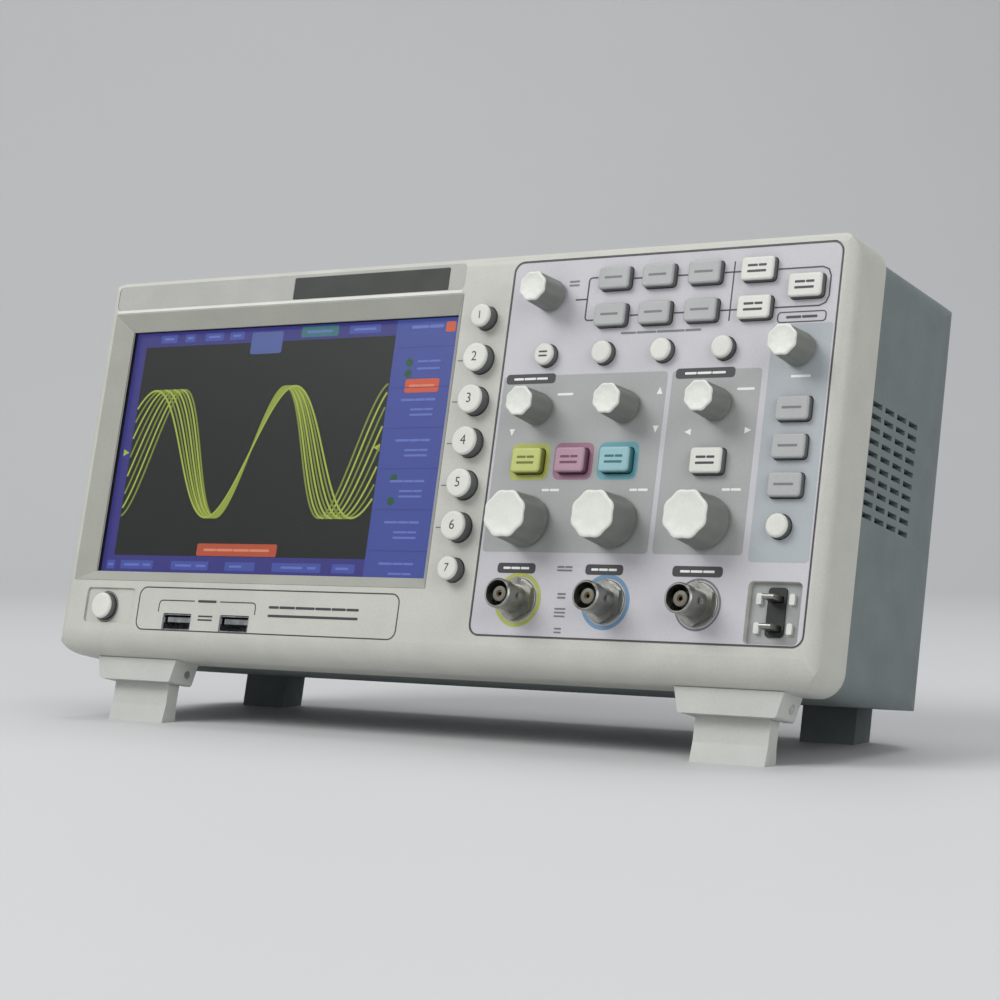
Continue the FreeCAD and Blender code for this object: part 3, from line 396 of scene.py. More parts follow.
def lathe(mesh, x, z, profile, steps=64):
    """Adds a body of revolution about an axis along Y, open at an end of the profile that is off the axis.

    The profile is a list of (radius, y).
    """
    rings = []
    for radius, y in profile:
        outline = circle(x, z, radius, steps) if radius > 1e-6 else [(x, z)]
        rings.append([mesh.verts.new((across, y, up)) for across, up in outline])
    for near, far in zip(rings, rings[1:]):
        for i in range(steps):
            j = (i + 1) % steps
            corners = [near[i % len(near)], near[j % len(near)], far[j % len(far)], far[i % len(far)]]
            unique = list(dict.fromkeys(corners))
            mesh.faces.new(unique)


WORD_GAP = 0.3                  # between two bars of a line


def bars(mesh, x, z, width, rows, front, back, height=0.55, pitch=1.15, gaps=()):
    """Adds short bars that stand for lines of lettering; every other line is cut at the gaps.

    The gaps are shares of the width.
    """
    for row in range(rows):
        level = z + pitch * ((rows - 1) / 2 - row)
        left = x - width / 2
        cuts = [0.0, *gaps, 1.0] if row % 2 == 0 else [0.0, 1.0]
        for start, end in zip(cuts, cuts[1:]):
            a, b = left + width * start + WORD_GAP / 2, left + width * end - WORD_GAP / 2
            bar = rounded_rect(a, b, level - height / 2, level + height / 2, height * 0.3, 2)
            slab(mesh, bar, front, back)


# ---- CAD nodes that stay, with their materials -----------------------------------------------------------
SLOTS = {part["node"]: part["material_slot"] for part in frame["record"]["subparts"]}

for name, node in frame["nodes"].items():
    node.data.materials.clear()
    node.data.materials.append(material(SLOTS[name]))


# ---- prints on the control panel -------------------------------------------------------------------------
INK = 0.05                      # thickness of one layer of print
ROOT = 0.02                     # how far a print reaches into the surface that carries it
LINE = 0.45                     # width of a printed line
KEY_FLANGE = 1.1                # a key's flange, hidden behind the panel, reaches this far past its cap
KEY_GAP = 0.35                  # between a key's cap and the edge of its opening
KEY_CORNER_R = 1.2
KNOB_HOLE_R = 4.3
KEY_NAMES = sorted(n for n in frame["nodes"] if "_key" in n or n == "power_button")
KNOB_NAMES = sorted(n for n in frame["nodes"] if n.endswith("_knob"))
RECT_KEYS = [n for n in KEY_NAMES if not n.startswith(("soft_", "round_", "force_", "power_"))]
PANEL_Y = OVERLAY.y0
PRINT = (PANEL_Y - 2 * INK, PANEL_Y + ROOT)         # front and back of the second layer of print
JACK_PITCH, JACK_Z = 33.4, 24.4
JACK_X = [204.0 + JACK_PITCH * i for i in range(3)]


def cap_outline(node, reach=0.0):
    """Outline of a key's cap, or of its opening when reach is its gap."""
    key = Place(node)
    if node in RECT_KEYS:
        inset = KEY_FLANGE - reach
        box = (key.x0 + inset, key.x1 - inset, key.z0 + inset, key.z1 - inset)
        return rounded_rect(*box, KEY_CORNER_R + reach, 6)
    return circle(key.x, key.z, key.width / 2 - KEY_FLANGE + reach, 40)


def plate(mesh, outline, holes, front, back):
    """Adds a closed plate with holes, from y = front to y = back."""
    curve = bpy.data.curves.new("outline", "CURVE")
    curve.dimensions = "2D"
    curve.fill_mode = "BOTH"
    curve.extrude = (back - front) / 2
    for points in [outline, *holes]:
        spline = curve.splines.new("POLY")
        spline.points.add(len(points) - 1)
        for point, (x, z) in zip(spline.points, points):
            point.co = (x, z, 0, 1)
        spline.use_cyclic_u = True
    add_curve(mesh, curve, 0.0, 0.0, (front + back) / 2)


def add_curve(mesh, curve, x, z, middle):
    """Adds a curve's solid, drawn in x and y, stood up in x and z about y = middle, and removes the curve."""
    holder = bpy.data.objects.new(curve.name, curve)
    solid = bpy.data.meshes.new_from_object(holder)
    solid.transform(Matrix(((1, 0, 0, x), (0, 0, 1, middle), (0, 1, 0, z), (0, 0, 0, 1))))
    mesh.from_mesh(solid)
    bpy.data.meshes.remove(solid)
    bpy.data.objects.remove(holder)
    bpy.data.curves.remove(curve)


def panel_openings(x0, x1, z0, z1):
    """Outlines of everything that comes through the panel inside a rectangle."""
    holes = [cap_outline(n, KEY_GAP) for n in KEY_NAMES if x0 < Place(n).x < x1 and z0 < Place(n).z < z1]
    knobs = [Place(n) for n in KNOB_NAMES]
    holes += [circle(k.x, k.z, KNOB_HOLE_R) for k in knobs if x0 < k.x < x1 and z0 < k.z < z1]
    return holes


def triangle(x, z, size, way):
    """Outline of a small arrow that points the way: up, down, left or right."""
    tip, base = size * 0.6, size * 0.5
    turns = {"right": (1, 0), "left": (-1, 0), "up": (0, 1), "down": (0, -1)}
    ax, az = turns[way]
    return [(x + ax * tip, z + az * tip), (x - ax * base - az * base, z - az * base + ax * base),
            (x - ax * base + az * base, z - az * base - ax * base)]


def panel_zones():
    """Grey grounds of the panel's three sections, under everything else that is printed."""
    zones = (("vertical_zone", (187.6, 250.6, 40.0, 99.0), "ink_zone"),
             ("horizontal_zone", (252.4, 284.4, 40.0, 99.0), "ink_zone"),
             ("trigger_zone", (286.6, 307.2, 38.0, 112.6), "ink_trigger_zone"))
    for name, box, look in zones:
        mesh = bmesh.new()
        plate(mesh, rounded_rect(*box, 1.2), panel_openings(*box), PANEL_Y - INK, PANEL_Y + ROOT)
        piece(name, mesh, look)


def panel_lines():
    """Outline of the whole panel, and the lines that join the function keys."""
    mesh = bmesh.new()
    inset = 0.2
    edge = (OVERLAY.x0 + inset, OVERLAY.x1 - inset, OVERLAY.z0 + inset, OVERLAY.z1 - inset)
    ribbon(mesh, rounded_rect(*edge, 3.5, 8), 0.4, *PRINT, closed=True)

    keys = [Place(f"function_key_{i}") for i in range(1, 9)]
    upper, lower = keys[0].z, keys[4].z
    middle = (upper + lower) / 2
    left = keys[0].x0 - 4.0
    hook = [(3.2, 1.0), (1.0, 1.0), (0.3, 0.7), (0.0, 0.0)]
    bracket = [(left + x, upper + z) for x, z in hook] + [(left + x, lower - z) for x, z in reversed(hook)]
    ribbon(mesh, bracket, LINE, *PRINT)
    ribbon(mesh, [(left - 4.5, middle), (left, middle)], LINE, *PRINT)

    inside = KEY_FLANGE - 0.5       # a line starts half a millimetre outside the cap
    for row in (keys[:4], keys[4:]):
        for a, b in zip(row, row[1:]):
            ribbon(mesh, [(a.x1 - inside, a.z), (b.x0 + inside, a.z)], LINE, *PRINT)

    fourth, eighth = keys[3], keys[7]
    reach = Place("run_stop_key").x1 + 0.6
    bend = [(3.0, 0.0), (0.9, 0.9), (0.0, 3.0)]
    loop = [(fourth.x1 - 0.6, fourth.z)] + [(reach - x, fourth.z - z) for x, z in bend]
    loop += [(reach - x, eighth.z + z) for x, z in reversed(bend)] + [(eighth.x1 - 0.6, eighth.z)]
    ribbon(mesh, loop, LINE, *PRINT)
    divider = (keys[2].x1 + fourth.x0) / 2
    ribbon(mesh, [(divider, upper + 3.5), (divider, lower - 3.5)], 0.4, *PRINT)
    piece("panel_lines", mesh, "ink_dark")


def section_labels():
    """Dark pills with a light line of lettering in each, and the trigger section's outlined one."""
    front, back = PRINT
    high, low = 97.95, 34.7
    labels = [(188.6, 208.0, high), (253.6, 275.0, high), (194.6, 209.4, low), (228.6, 242.6, low),
              (260.6, 278.4, low)]
    half, corner_r = 1.67, 1.17
    pills, words = bmesh.new(), bmesh.new()
    for x0, x1, z in labels:
        slab(pills, rounded_rect(x0, x1, z - half, z + half, corner_r), front, back)
        bars(words, (x0 + x1) / 2, z, (x1 - x0) * 0.7, 1, front - INK, front + ROOT, 0.75, gaps=(0.3, 0.66))
    ribbon(pills, rounded_rect(287.8, 304.4, 113.2, 116.4, 1.1), 0.35, front, back, closed=True)
    bars(pills, 296.1, 114.8, 11.0, 1, front, back, 0.8, gaps=(0.5,))
    piece("section_labels", pills, "ink_dark")
    piece("section_lettering", words, "ink_white")


def small_legends():
    """Grey legends beside the sockets and the round keys, and white ones beside the knobs."""
    legends, pale = bmesh.new(), bmesh.new()
    for name in ("channel_1_position_knob", "horizontal_position_knob"):
        k = Place(name)
        bars(pale, k.x + 9.4, k.z + 5.0, 6.4, 1, *PRINT, 0.8)
    for name in ("channel_1_scale_knob", "channel_2_scale_knob", "horizontal_scale_knob"):
        k = Place(name)
        bars(pale, k.x + 7.4, k.z + 10.6, 7.0, 1, *PRINT, 0.8, gaps=(0.45,))
    k = Place("trigger_level_knob")
    bars(pale, k.x + 1.0, k.z - 8.2, 7.0, 1, *PRINT, 0.8)

    bars(legends, 246.0, 112.2, 30.0, 1, *PRINT, 0.7, gaps=(0.2, 0.45, 0.8))
    rating_x = (JACK_X[0] + JACK_X[1]) / 2
    bars(legends, rating_x, 26.0, 3.4, 2, *PRINT, 0.6, 1.2)
    bars(legends, rating_x, 34.8, 6.0, 2, *PRINT, 0.55, 1.1, gaps=(0.5,))
    bars(legends, rating_x, 20.6, 4.4, 3, *PRINT, 0.5, 1.2)
    bars(legends, rating_x, 14.8, 3.0, 2, *PRINT, 0.5, 1.2)
    bars(legends, 210.8, 130.0, 4.2, 2, *PRINT, 0.6, 1.3)
    piece("panel_legends", legends, "ink_grey")
    piece("knob_legends", pale, "ink_white")


def panel_arrows():
    """White arrows beside the position knobs."""
    arrows = bmesh.new()
    places = [(248.4, 92.6, "up"), (248.4, 80.2, "down"), (193.4, 80.0, "down"), (260.4, 79.0, "left"),
              (281.6, 79.2, "right")]
    for x, z, way in places:
        slab(arrows, triangle(x, z, 2.1, way), *PRINT)
    piece("panel_arrows", arrows, "ink_white")


def coloured_grounds():
    """Coloured grounds round the channel keys, and rings round the sockets."""
    half_w, half_h = 7.5, 6.1
    for name, look in (("channel_1_menu_key", "halo_yellow"), ("math_menu_key", "halo_pink"),
                       ("channel_2_menu_key", "halo_cyan")):
        k, mesh = Place(name), bmesh.new()
        ground = rounded_rect(k.x - half_w, k.x + half_w, k.z - half_h, k.z + half_h, 2.4)
        plate(mesh, ground, [cap_outline(name, KEY_GAP)], *PRINT)
        piece(name.replace("menu_key", "ground"), mesh, look)
    rings = ((8.9, "halo_yellow"), (8.9, "halo_blue"), (8.2, "ink_grey"))
    for i, (x, (outer_r, look)) in enumerate(zip(JACK_X, rings)):
        mesh = bmesh.new()
        annulus(mesh, x, JACK_Z, 7.6, outer_r, *PRINT)
        piece(f"socket_ring_{i + 1}", mesh, look)


# ---- legends on the keys ---------------------------------------------------------------------------------
def numeral(mesh, text, x, z, height, front, back):
    """Adds a raised number, centred on x, z."""
    curve = bpy.data.curves.new("numeral", "FONT")
    curve.body = text
    curve.align_x, curve.align_y = "CENTER", "CENTER"
    curve.size = height * 1.4
    curve.extrude = (back - front) / 2
    curve.resolution_u = 3
    add_curve(mesh, curve, x, z, (front + back) / 2)


# each coloured key's dark ink, used for its legends and as painted shade on its sides
TINTS = {"yellow_key_plastic": "key_ink_and_shade_olive", "pink_key_plastic": "key_ink_and_shade_plum",
         "cyan_key_plastic": "key_ink_and_shade_teal"}        # the dark ink on each coloured key
TWO_LINE_KEYS = ["run_stop_key", "function_key_4", "function_key_8"] + [n for n in KEY_NAMES if "menu" in n]


def key_shade_skirts():
    """Painted shade on the sides of the keys, behind their rounded front edges: dark grey, or the dark ink of a
    coloured key.
    """
    skin, sink, back = 0.04, 0.3, 1.6
    for name in KEY_NAMES:
        k, mesh, slot = Place(name), bmesh.new(), SLOTS[name]
        edge = 0.72 if name in RECT_KEYS else 0.92
        plate(mesh, cap_outline(name, skin), [cap_outline(name, -sink)], k.y0 + edge, back)
        piece(f"{name}_side", mesh, TINTS.get(slot, "key_side"), body=name)


def key_legends():
    """Numbers on the soft keys, and bars for the words on the others."""
    for name in KEY_NAMES:
        k, mesh, slot = Place(name), bmesh.new(), SLOTS[name]
        front, back = k.y0 - 0.03, k.y0 + 0.1
        if name.startswith("soft_key"):
            height = 3.4 if k.width > 11 else 2.8       # the first and last keys are smaller
            numeral(mesh, name[-1], k.x, k.z, height, front, back)
            look = "ink_dark"
        elif name == "round_key_1":
            bars(mesh, k.x, k.z, 3.6, 2, front, back, 0.6, 1.4)
            look = "ink_dark"
        elif name in RECT_KEYS:
            rows, gaps = (2, (0.55,)) if name in TWO_LINE_KEYS else (1, ())
            bars(mesh, k.x, k.z, 7.0, rows, front, back, 0.8, 1.9, gaps)
            look = TINTS.get(slot, "ink_grey" if slot == "grey_key_plastic" else "ink_dark")
        else:
            mesh.free()
            continue
        piece(f"{name}_legend", mesh, look, body=name)


# ---- knobs -----------------------------------------------------------------------------------------------
LOBES = 8


def lobed_ring(mesh, x, y, z, radius, depth, steps=96):
    """Ring of vertices of a fluted section, with hollows of the given depth round the circle."""
    ring = []
    for i in range(steps):
        angle = 2 * math.pi * i / steps
        hollow = depth * (0.5 + 0.5 * math.cos(LOBES * angle))
        r = radius - hollow
        ring.append(mesh.verts.new((x + r * math.cos(angle), y, z + r * math.sin(angle))))
    return ring


def stack(mesh, rings):
    """Adds a closed body that joins rings of vertices from end to end."""
    for near, far in zip(rings, rings[1:]):
        for i in range(len(near)):
            j = (i + 1) % len(near)
            mesh.faces.new((near[i], near[j], far[j], far[i]))
    mesh.faces.new(rings[0])
    mesh.faces.new(rings[-1][::-1])


def knobs():
    """Fluted grips darkened with painted shade, each with a pale cap over its whole front."""
    for name in KNOB_NAMES:
        k = Place(name)
        base_r, top, base = k.width / 2, k.y0, -1.0
        top_r, hollow = 0.93 * base_r, 0.06 * base_r
        grip, cap = bmesh.new(), bmesh.new()
        stack(grip, [lobed_ring(grip, k.x, y, k.z, r, depth) for y, r, depth in (
            (base, base_r - 0.12, 0.0), (base - 0.15, base_r, 0.0), (base - 1.0, base_r, 0.0),
            (base - 1.3, base_r - 0.1, 0.3 * hollow), (base - 2.4, base_r * 0.985, hollow),
            (top + 0.85, top_r, hollow), (top + 0.75, top_r - 0.12, hollow))])
        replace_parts(piece(f"{name}_grip", grip, "knob_side", body=name, smooth_deg=38), name)
        rim = [(0.9, top_r - 0.3), (0.74, top_r - 0.02), (0.45, top_r), (0.22, top_r - 0.08),
               (0.06, top_r - 0.25), (0.0, top_r - 0.5)]
        dish = [(0.02, top_r * 0.84), (0.12, top_r * 0.8), (0.16, top_r * 0.4), (0.18, top_r * 0.05)]
        stack(cap, [lobed_ring(cap, k.x, top + y, k.z, r, hollow) for y, r in rim + dish])
        piece(f"{name}_cap", cap, "knob_plastic", body=name, smooth_deg=38)


# ---- front sockets ---------------------------------------------------------------------------------------
def hexagon(x, z, across_flats):
    corner = across_flats / math.sqrt(3)
    turns = [math.radians(60 * i + 30) for i in range(6)]
    return [(x + corner * math.cos(a), z + corner * math.sin(a)) for a in turns]


def cross_cylinder(mesh, x0, x1, y, z, radius, steps=20):
    """Adds a closed cylinder along X."""
    section = circle(y, z, radius, steps)
    stack(mesh, [[mesh.verts.new((x, across, up)) for across, up in section] for x in (x0, x1)])


def jacks():
    """Three BNC sockets: barrel with its two lugs, nut on a washer, insulator darkened with painted shade, and
    centre contact.
    """
    mouth, neck_end, floor = -12.0, -7.9, -3.2
    barrel_r, neck_r, bore_r = 4.83, 4.6, 4.1
    washer_r, washer_y, nut_y, nut_flats = 7.1, -0.5, -2.3, 12.4
    for i, x in enumerate(JACK_X):
        shell = bmesh.new()
        lathe(shell, x, JACK_Z, [
            (neck_r, 0.1), (neck_r, neck_end + 0.15), (barrel_r, neck_end), (barrel_r, mouth + 0.4),
            (4.46, mouth), (4.18, mouth), (bore_r, mouth + 0.1), (bore_r, floor), (0, floor)])
        cross_cylinder(shell, x - 5.5, x + 5.5, neck_end + 1.3, JACK_Z, 1.0)
        made = piece(f"bnc_shell_{i + 1}", shell, "nickel_plate", smooth_deg=35)
        if i == 0:
            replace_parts(made, "bnc_jacks")
        nut = bmesh.new()
        washer = [(washer_r, PANEL_Y), (washer_r, washer_y + 0.15), (washer_r - 0.2, washer_y),
                  (neck_r + 0.02, washer_y), (neck_r + 0.02, PANEL_Y)]
        lathe(nut, x, JACK_Z, washer + washer[:1])
        slab(nut, hexagon(x, JACK_Z, nut_flats), nut_y, washer_y)
        piece(f"bnc_nut_{i + 1}", nut, "nickel_plate")
        core = bmesh.new()
        lathe(core, x, JACK_Z, [
            (2.45, -3.0), (2.45, mouth + 1.6), (2.3, mouth + 1.5), (1.2, mouth + 1.5), (1.1, mouth + 1.6),
            (1.1, -4.6), (0, -4.6)])
        piece(f"bnc_insulator_{i + 1}", core, "insulator", smooth_deg=35)
        contact = bmesh.new()
        lathe(contact, x, JACK_Z, [
            (0, -4.7), (1.05, -4.7), (1.05, mouth + 2.0), (0.95, mouth + 1.9), (0.75, mouth + 1.9),
            (0.7, mouth + 2.0), (0.7, -5.5), (0, -5.5)], 24)
        piece(f"bnc_contact_{i + 1}", contact, "contact_gold", smooth_deg=35)


# ---- front of the bezel ----------------------------------------------------------------------------------
BEZEL_PRINT = (-INK, 0.05)      # front and back of what is printed on the bezel's face
PROBE_X, PROBE_Z = 297.0, (27.0, 18.0)


def name_strip():
    """Raised line under the strip over the screen, and the strip's darker ground round the nameplate."""
    ridge = bmesh.new()
    slab(ridge, rounded_rect(5.0, 165.4, 129.15, 130.15, 0.4, 4), -0.18, 0.2)
    piece("band_ridge", ridge, "ridge_plastic")

    band, nameplate, gap = bmesh.new(), Place("nameplate"), 0.2
    hole = rounded_rect(nameplate.x0 - gap, nameplate.x1 + gap, nameplate.z0 - gap, nameplate.z1 + gap, 0.7)
    plate(band, rounded_rect(4.1, 165.9, 130.4, 139.7, 1.9), [hole], 0.3, 0.42)
    piece("name_band", band, "band_print")


def screen_frame():
    """Four slopes that lead in from the bezel's face to the screen, in a darker grey that is painted shade."""
    mesh = bmesh.new()
    outer, inner = rectangle(4.3, 166.2, 27.3, 128.7), rectangle(11.6, 162.9, 31.1, 122.4)
    sections = ((outer, 0.02), (inner, 3.1), (inner, 3.5), (outer, 0.4))
    rings = [[mesh.verts.new((x, y, z)) for x, z in ring] for ring, y in sections]
    for near, far in zip(rings, rings[1:] + rings[:1]):
        for i in range(4):
            j = (i + 1) % 4
            mesh.faces.new((near[i], near[j], far[j], far[i]))
    piece("screen_frame", mesh, "frame_shaded_plastic")


def socket_label():
    """Outline round the USB sockets, with lines that lead to them and bars for the lettering."""
    mesh = bmesh.new()
    ribbon(mesh, rounded_rect(38.6, 156.5, 9.6, 25.0, 3.2, 6), LINE, *BEZEL_PRINT, closed=True)
    middle, level = 71.4, 20.4
    leader = [(6.0, 0.0), (21.2, 0.0), (22.3, 0.4), (22.7, 1.5), (22.7, 4.2)]
    for side in (-1, 1):
        ribbon(mesh, [(middle + side * x, level - z) for x, z in leader], 0.4, *BEZEL_PRINT)
    bars(mesh, middle, level, 9.0, 1, *BEZEL_PRINT, 0.9)
    bars(mesh, middle, 14.4, 7.0, 2, *BEZEL_PRINT, 0.6, 1.3)
    bars(mesh, 120.0, 17.6, 40.0, 2, *BEZEL_PRINT, 0.9, 3.0, gaps=(0.12, 0.3, 0.52, 0.7, 0.86))
    piece("socket_label", mesh, "ink_dark")


def key_marks():
    """Ticks from the screen to the soft keys, and the ring round the power key."""
    ticks = bmesh.new()
    for i in range(2, 7):
        k = Place(f"soft_key_{i}")
        ribbon(ticks, [(167.4, k.z), (170.6, k.z)], 0.4, *BEZEL_PRINT)
    piece("soft_key_ticks", ticks, "ink_grey")

    surround, k = bmesh.new(), Place("power_button")
    annulus(surround, k.x, k.z, 5.3, 5.75, 0.55, 0.85)
    piece("power_key_ring", surround, "ink_grey")


def probe_terminals():
    """Ground plate and dark pad behind the two probe terminals, and a guide on each side of each."""
    floor, pad = bmesh.new(), bmesh.new()
    slots = [rounded_rect(PROBE_X - 2.6, PROBE_X + 2.6, z - 1.1, z + 1.1, 0.3, 2) for z in PROBE_Z]
    plate(floor, rounded_rect(PROBE_X - 8.9, PROBE_X + 8.9, 13.1, 31.9, 1.4), slots, 2.12, 2.25)
    piece("probe_plate", floor, "ink_zone")
    plate(pad, rounded_rect(294.2, 300.4, 15.4, 30.6, 1.2), slots, 1.5, 2.2)
    piece("probe_pad", pad, "black_plastic")
    guides = bmesh.new()
    for z in PROBE_Z:
        for side in (-1, 1):
            middle = PROBE_X + side * 5.6
            slab(guides, rounded_rect(middle - 0.9, middle + 0.9, z - 1.7, z + 1.7, 0.5, 3), 0.9, 2.3)
    piece("probe_guides", guides, "ridge_plastic")


# ---- the lit picture on the display ----------------------------------------------------------------------
GRID = (17.0, 135.0, 37.7, 117.0)       # left, right, low and high edge of the graticule
MENU_LEFT, SCREEN_RIGHT = 135.0, 163.0
SCREEN_LEFT, SCREEN_LOW, SCREEN_HIGH = 11.5, 31.0, 122.5
STATUS_Z, FOOTER_Z = 119.9, 34.2        # lines of lettering in the upper and the lower bar
LAYER = 0.05
TRACES = 8
TRACE_PERIOD, TRACE_GROWTH = 48.0, 1.049            # of the tightest wave, and from each wave to the next
TRACE_X, TRACE_Z, TRACE_SWING = 76.0, 76.0, 24.0    # the point where all waves cross, and their height
TRACE_STEP = 0.012                      # each trace lies this far in front of the last


def on_display(name, shapes, look, level):
    """Flat shapes on the display, in the given layer from the glass outwards."""
    mesh = bmesh.new()
    front = LCD.y0 - LAYER * level
    for outline in shapes:
        slab(mesh, outline, front, LCD.y0 + 0.1 if level == 1 else front + LAYER * 1.2)
    return piece(name, mesh, look)


def rectangle(x0, x1, z0, z1):
    return [(x0, z0), (x1, z0), (x1, z1), (x0, z1)]


def trace_height(x, period):
    return TRACE_Z + TRACE_SWING * math.sin(2 * math.pi * (x - TRACE_X) / period)


def picture_grounds():
    left, right, low, high = GRID
    on_display("picture_graticule", [rectangle(left, right, low, high)], "lit_black", 1)
    on_display("picture_menu", [rectangle(MENU_LEFT, SCREEN_RIGHT, SCREEN_LOW, SCREEN_HIGH)], "lit_menu", 1)
    on_display("picture_bars", [rectangle(SCREEN_LEFT, MENU_LEFT, high, SCREEN_HIGH),
                                rectangle(SCREEN_LEFT, MENU_LEFT, SCREEN_LOW, low),
                                rectangle(SCREEN_LEFT, left, low, high)], "lit_bar", 1)


def picture_grid():
    """Dotted lines of the graticule, 12 divisions across and 8 up."""
    left, right, low, high = GRID
    columns, rows, dots_up, dots_across = 12, 8, 40, 60
    width, height = right - left, high - low
    long_half, short_half = 0.18, 0.09
    dots = [(left + i * width / columns, low + height * (j + 0.5) / dots_up, short_half, long_half)
            for i in range(1, columns) for j in range(dots_up)]
    dots += [(left + width * (j + 0.5) / dots_across, low + height * i / rows, long_half, short_half)
             for i in range(1, rows) for j in range(dots_across)]
    mesh = bmesh.new()
    front = LCD.y0 - 2 * LAYER
    for x, z, half_w, half_h in dots:
        slab(mesh, rectangle(x - half_w, x + half_w, z - half_h, z + half_h), front, front + 0.06)
    piece("picture_grid", mesh, "lit_grid")


def picture_blocks():
    """Coloured fields in the bars and the menu."""
    on_display("picture_tab", [rounded_rect(68.8, 83.6, 112.6, 120.8, 1.0)], "lit_tab", 2)
    on_display("picture_status_teal", [rounded_rect(92.0, 109.0, 118.0, 121.8, 0.6)], "lit_teal", 2)
    blocks = [(24.0, 8.0), (36.0, 5.0), (46.0, 9.0), (58.0, 7.0), (114.0, 14.0)]
    on_display("picture_status_blocks", [rounded_rect(x, x + w, 118.4, 121.4, 0.5) for x, w in blocks],
               "lit_text_dim", 2)
    on_display("picture_close", [rounded_rect(156.4, 160.4, 117.4, 121.0, 0.5)], "lit_orange", 2)
    on_display("picture_highlight", [rounded_rect(142.0, 156.5, 96.2, 101.0, 0.8)], "lit_orange", 2)
    on_display("picture_readout", [rounded_rect(57.5, 95.0, 37.9, 42.4, 0.7)], "lit_red", 2)
    marks = [circle(142.6, z, 1.5, 16) for z in (107.0, 103.0, 66.0, 58.0)]
    on_display("picture_menu_marks", marks, "lit_green", 2)
    levels = [Place(f"soft_key_{i}").z + 7.17 for i in range(2, 8)]
    menu_lines = [rectangle(MENU_LEFT + 1.0, SCREEN_RIGHT - 0.6, z - 0.12, z + 0.12) for z in levels]
    on_display("picture_menu_lines", menu_lines, "lit_menu_deep", 2)
    blocks = [(14.0, 4.0), (21.0, 16.0), (46.0, 18.0), (72.0, 14.0), (94.0, 22.0), (121.0, 10.0)]
    on_display("picture_bottom_blocks", [rounded_rect(x, x + w, 32.6, 35.8, 0.4) for x, w in blocks],
               "lit_text_dim", 2)


def picture_words():
    """Bars for the words on the screen."""
    layer = (LCD.y0 - 3 * LAYER, LCD.y0 - 2 * LAYER + 0.01)
    words = bmesh.new()
    bars(words, 148.5, 119.6, 14.0, 1, *layer, 1.1, gaps=(0.55,))
    bars(words, 151.0, Place("soft_key_2").z + 0.8, 10.0, 2, *layer, 0.7, 2.6, gaps=(0.5,))
    for i in range(3, 8):
        z = Place(f"soft_key_{i}").z
        bars(words, 148.5, z + 2.8, 15.0, 1, *layer, 0.8, gaps=(0.4, 0.7))
        bars(words, 150.5, z - 1.6, 10.0, 2, *layer, 0.7, 1.9, gaps=(0.6,))
    footer = [(16.0, 3.0), (26.5, 8.0), (34.0, 4.0), (52.0, 8.0), (60.5, 5.0), (77.0, 6.0), (103.0, 10.0),
              (112.0, 4.0), (125.5, 6.0)]
    status = [(28.0, 5.0), (38.5, 3.0), (50.5, 6.0), (61.5, 4.0), (100.5, 12.0), (121.0, 10.0)]
    for row, z in ((footer, FOOTER_Z), (status, STATUS_Z)):
        for x, width in row:
            bars(words, x, z, width, 1, *layer, 0.8)
    piece("picture_words", words, "lit_text")
    hot_words = bmesh.new()
    bars(hot_words, 149.2, 98.6, 11.0, 1, *layer, 0.8, gaps=(0.45,))
    bars(hot_words, 76.2, 40.1, 31.0, 1, *layer, 0.9, gaps=(0.2, 0.45, 0.7))
    piece("picture_hot_words", hot_words, "lit_orange_pale")


def picture_traces():
    """Sine traces of slightly different periods, all through one trigger point, and its two markers."""
    left, right = GRID[:2]
    margin, steps = 0.4, 260
    across = [left + margin + (right - left - 2 * margin) * n / steps for n in range(steps + 1)]
    for i in range(TRACES):
        period = TRACE_PERIOD * TRACE_GROWTH ** i
        mesh = bmesh.new()
        ribbon(mesh, [(x, trace_height(x, period)) for x in across], 0.75,
               LCD.y0 - 3 * LAYER - TRACE_STEP * i, LCD.y0 - 2 * LAYER - TRACE_STEP * i)
        piece(f"picture_trace_{i + 1}", mesh, "lit_trace" if i % 2 else "lit_trace_dim")
    markers = [triangle(15.0, 76.5, 2.6, "right"), triangle(133.4, 77.0, 2.6, "left")]
    on_display("picture_markers", markers, "lit_trace", 3)


# ---- back and handle -------------------------------------------------------------------------------------
def rating_plate():
    """Silver label on the rear wall, with bars for its lettering."""
    wall = HOUSING.y1
    label = bmesh.new()
    slab(label, rounded_rect(150.0, 236.0, 26.0, 58.0, 2.0), wall - 0.05, wall + 0.18)
    piece("rating_plate", label, "label_silver")
    words = bmesh.new()
    ink = (wall + 0.1, wall + 0.23)
    for row in range(6):
        bars(words, 180.0, 52.0 - 3.8 * row, 50.0 - 5.0 * (row % 3), 1, *ink, 1.1, gaps=(0.2, 0.46, 0.75))
    ribbon(words, rounded_rect(152.0, 234.0, 28.0, 56.0, 1.4), 0.4, *ink, closed=True)
    slab(words, rounded_rect(214.0, 230.0, 33.0, 49.0, 1.2), *ink)
    piece("rating_lettering", words, "ink_dark")


def rear_ribs():
    """Six stiffening ribs across the rear wall, each a low step with a narrower one on it."""
    wall = HOUSING.y1
    mesh = bmesh.new()
    lowest, pitch, count = 74.0, 4.4, 6
    for i in range(count):
        z = lowest + pitch * i
        slab(mesh, rounded_rect(70.0, 243.0, z - 0.9, z + 0.9, 0.85, 4), wall - 0.3, wall + 0.35)
        slab(mesh, rounded_rect(70.6, 242.4, z - 0.5, z + 0.5, 0.45, 4), wall + 0.3, wall + 0.7)
    piece("rear_ribs", mesh, "housing_plastic", smooth_deg=30)


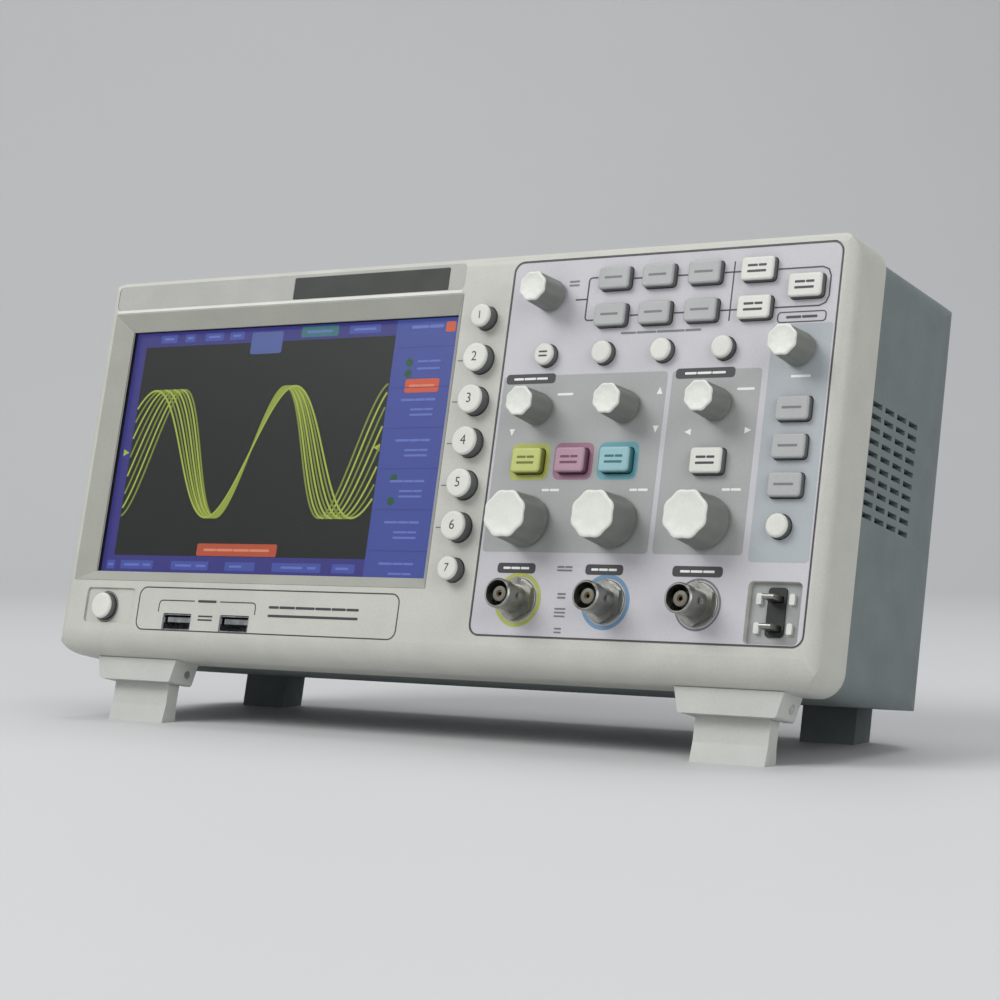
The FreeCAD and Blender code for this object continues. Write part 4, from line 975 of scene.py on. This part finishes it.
def handle_ribs():
    """Half-round ribs along the handle's grip."""
    grip = Place("carry_handle")
    mesh = bmesh.new()
    count, pitch = 23, 3.4
    half_w, height, sunk = 0.8, 0.55, 0.3
    turns = [math.pi * n / 8 for n in range(9)]
    for i in range(count):
        x = grip.x + (i - (count - 1) / 2) * pitch
        arc = [(x + half_w * math.cos(a), grip.z1 - sunk + height * math.sin(a)) for a in turns]
        slab(mesh, arc, grip.y1 - 10.4, grip.y1 - 3.2)
    piece("handle_ribs", mesh, "handle_plastic", body="carry_handle", smooth_deg=35)


PIECES = (panel_zones, panel_lines, section_labels, small_legends, panel_arrows, coloured_grounds,
          key_shade_skirts, key_legends, knobs, jacks, name_strip, screen_frame, socket_label, key_marks,
          probe_terminals, picture_grounds, picture_grid, picture_blocks, picture_words, picture_traces,
          rating_plate, rear_ribs, handle_ribs)
for build in PIECES:
    build()


# ---- stage -----------------------------------------------------------------------------------------------
def stage():
    """Pale floor that curves up into a backdrop behind the object."""
    plane = bmesh.new()
    reach, flat, rise, bend = 14.0, 1.2, 2.4, 0.8
    turns = [math.pi / 2 * i / 12 for i in range(13)]
    profile = [(-reach, 0.0)]
    profile += [(flat + bend * math.sin(a), bend * (1 - math.cos(a))) for a in turns]
    profile.append((flat + bend, rise))
    turn = Matrix.Rotation(math.radians(35), 4, "Z")        # the backdrop faces the camera
    rows = [[plane.verts.new(turn @ Vector((x, y, z))) for x in (-reach, reach)] for y, z in profile]
    for near, far in zip(rows, rows[1:]):
        plane.faces.new((near[0], near[1], far[1], far[0]))
    mesh = bpy.data.meshes.new("floor")
    plane.to_mesh(mesh)
    plane.free()
    mesh.shade_smooth()
    floor = bpy.data.objects.new("floor", mesh)
    bpy.context.scene.collection.objects.link(floor)
    shader = Shader("floor", 0.6)
    shader.colour(srgb(200, 201, 202), 0.01, 300.0, 0.0)
    mesh.materials.append(shader.material)


def soft_light(name, place, target, size, power):
    """Rectangular lamp, in metres and watts, that faces its target."""
    data = bpy.data.lights.new(name, "AREA")
    data.shape = "RECTANGLE"
    data.size, data.size_y = size
    data.energy = power
    lamp = bpy.data.objects.new(name, data)
    lamp.location = place
    lamp.rotation_euler = (Vector(target) - Vector(place)).to_track_quat("-Z", "Y").to_euler()
    bpy.context.scene.collection.objects.link(lamp)


def lights():
    centre = (0.0, 0.0, 0.08)
    soft_light("key_light", (-0.9, -1.3, 1.5), centre, (1.4, 1.0), 28)
    soft_light("fill_light", (1.6, -0.9, 0.7), centre, (1.2, 1.2), 11)
    soft_light("top_light", (0.1, 0.5, 1.8), centre, (1.6, 1.0), 13)
    world = bpy.data.worlds.new("studio")
    world.use_nodes = True
    background = world.node_tree.nodes["Background"]
    background.inputs["Color"].default_value = (0.86, 0.88, 0.9, 1.0)
    background.inputs["Strength"].default_value = 0.42
    bpy.context.scene.world = world


def camera():
    """Level, low and to the right of the front."""
    edge = CASE @ Vector((CASING.width / 2, 0, 0))
    away = Vector((0.4827, -0.6236, 0.0558))        # from the middle of the front's lower edge
    data = bpy.data.cameras.new("camera")
    data.sensor_width = 36.0
    data.lens = 85.6
    data.clip_end = 20.0
    made = bpy.data.objects.new("camera", data)
    made.location = edge + away
    made.rotation_euler = (math.radians(90), 0, math.radians(35.1))
    bpy.context.scene.collection.objects.link(made)
    bpy.context.scene.camera = made


stage()
lights()
camera()
bpy.context.scene.view_settings.view_transform = "Standard"
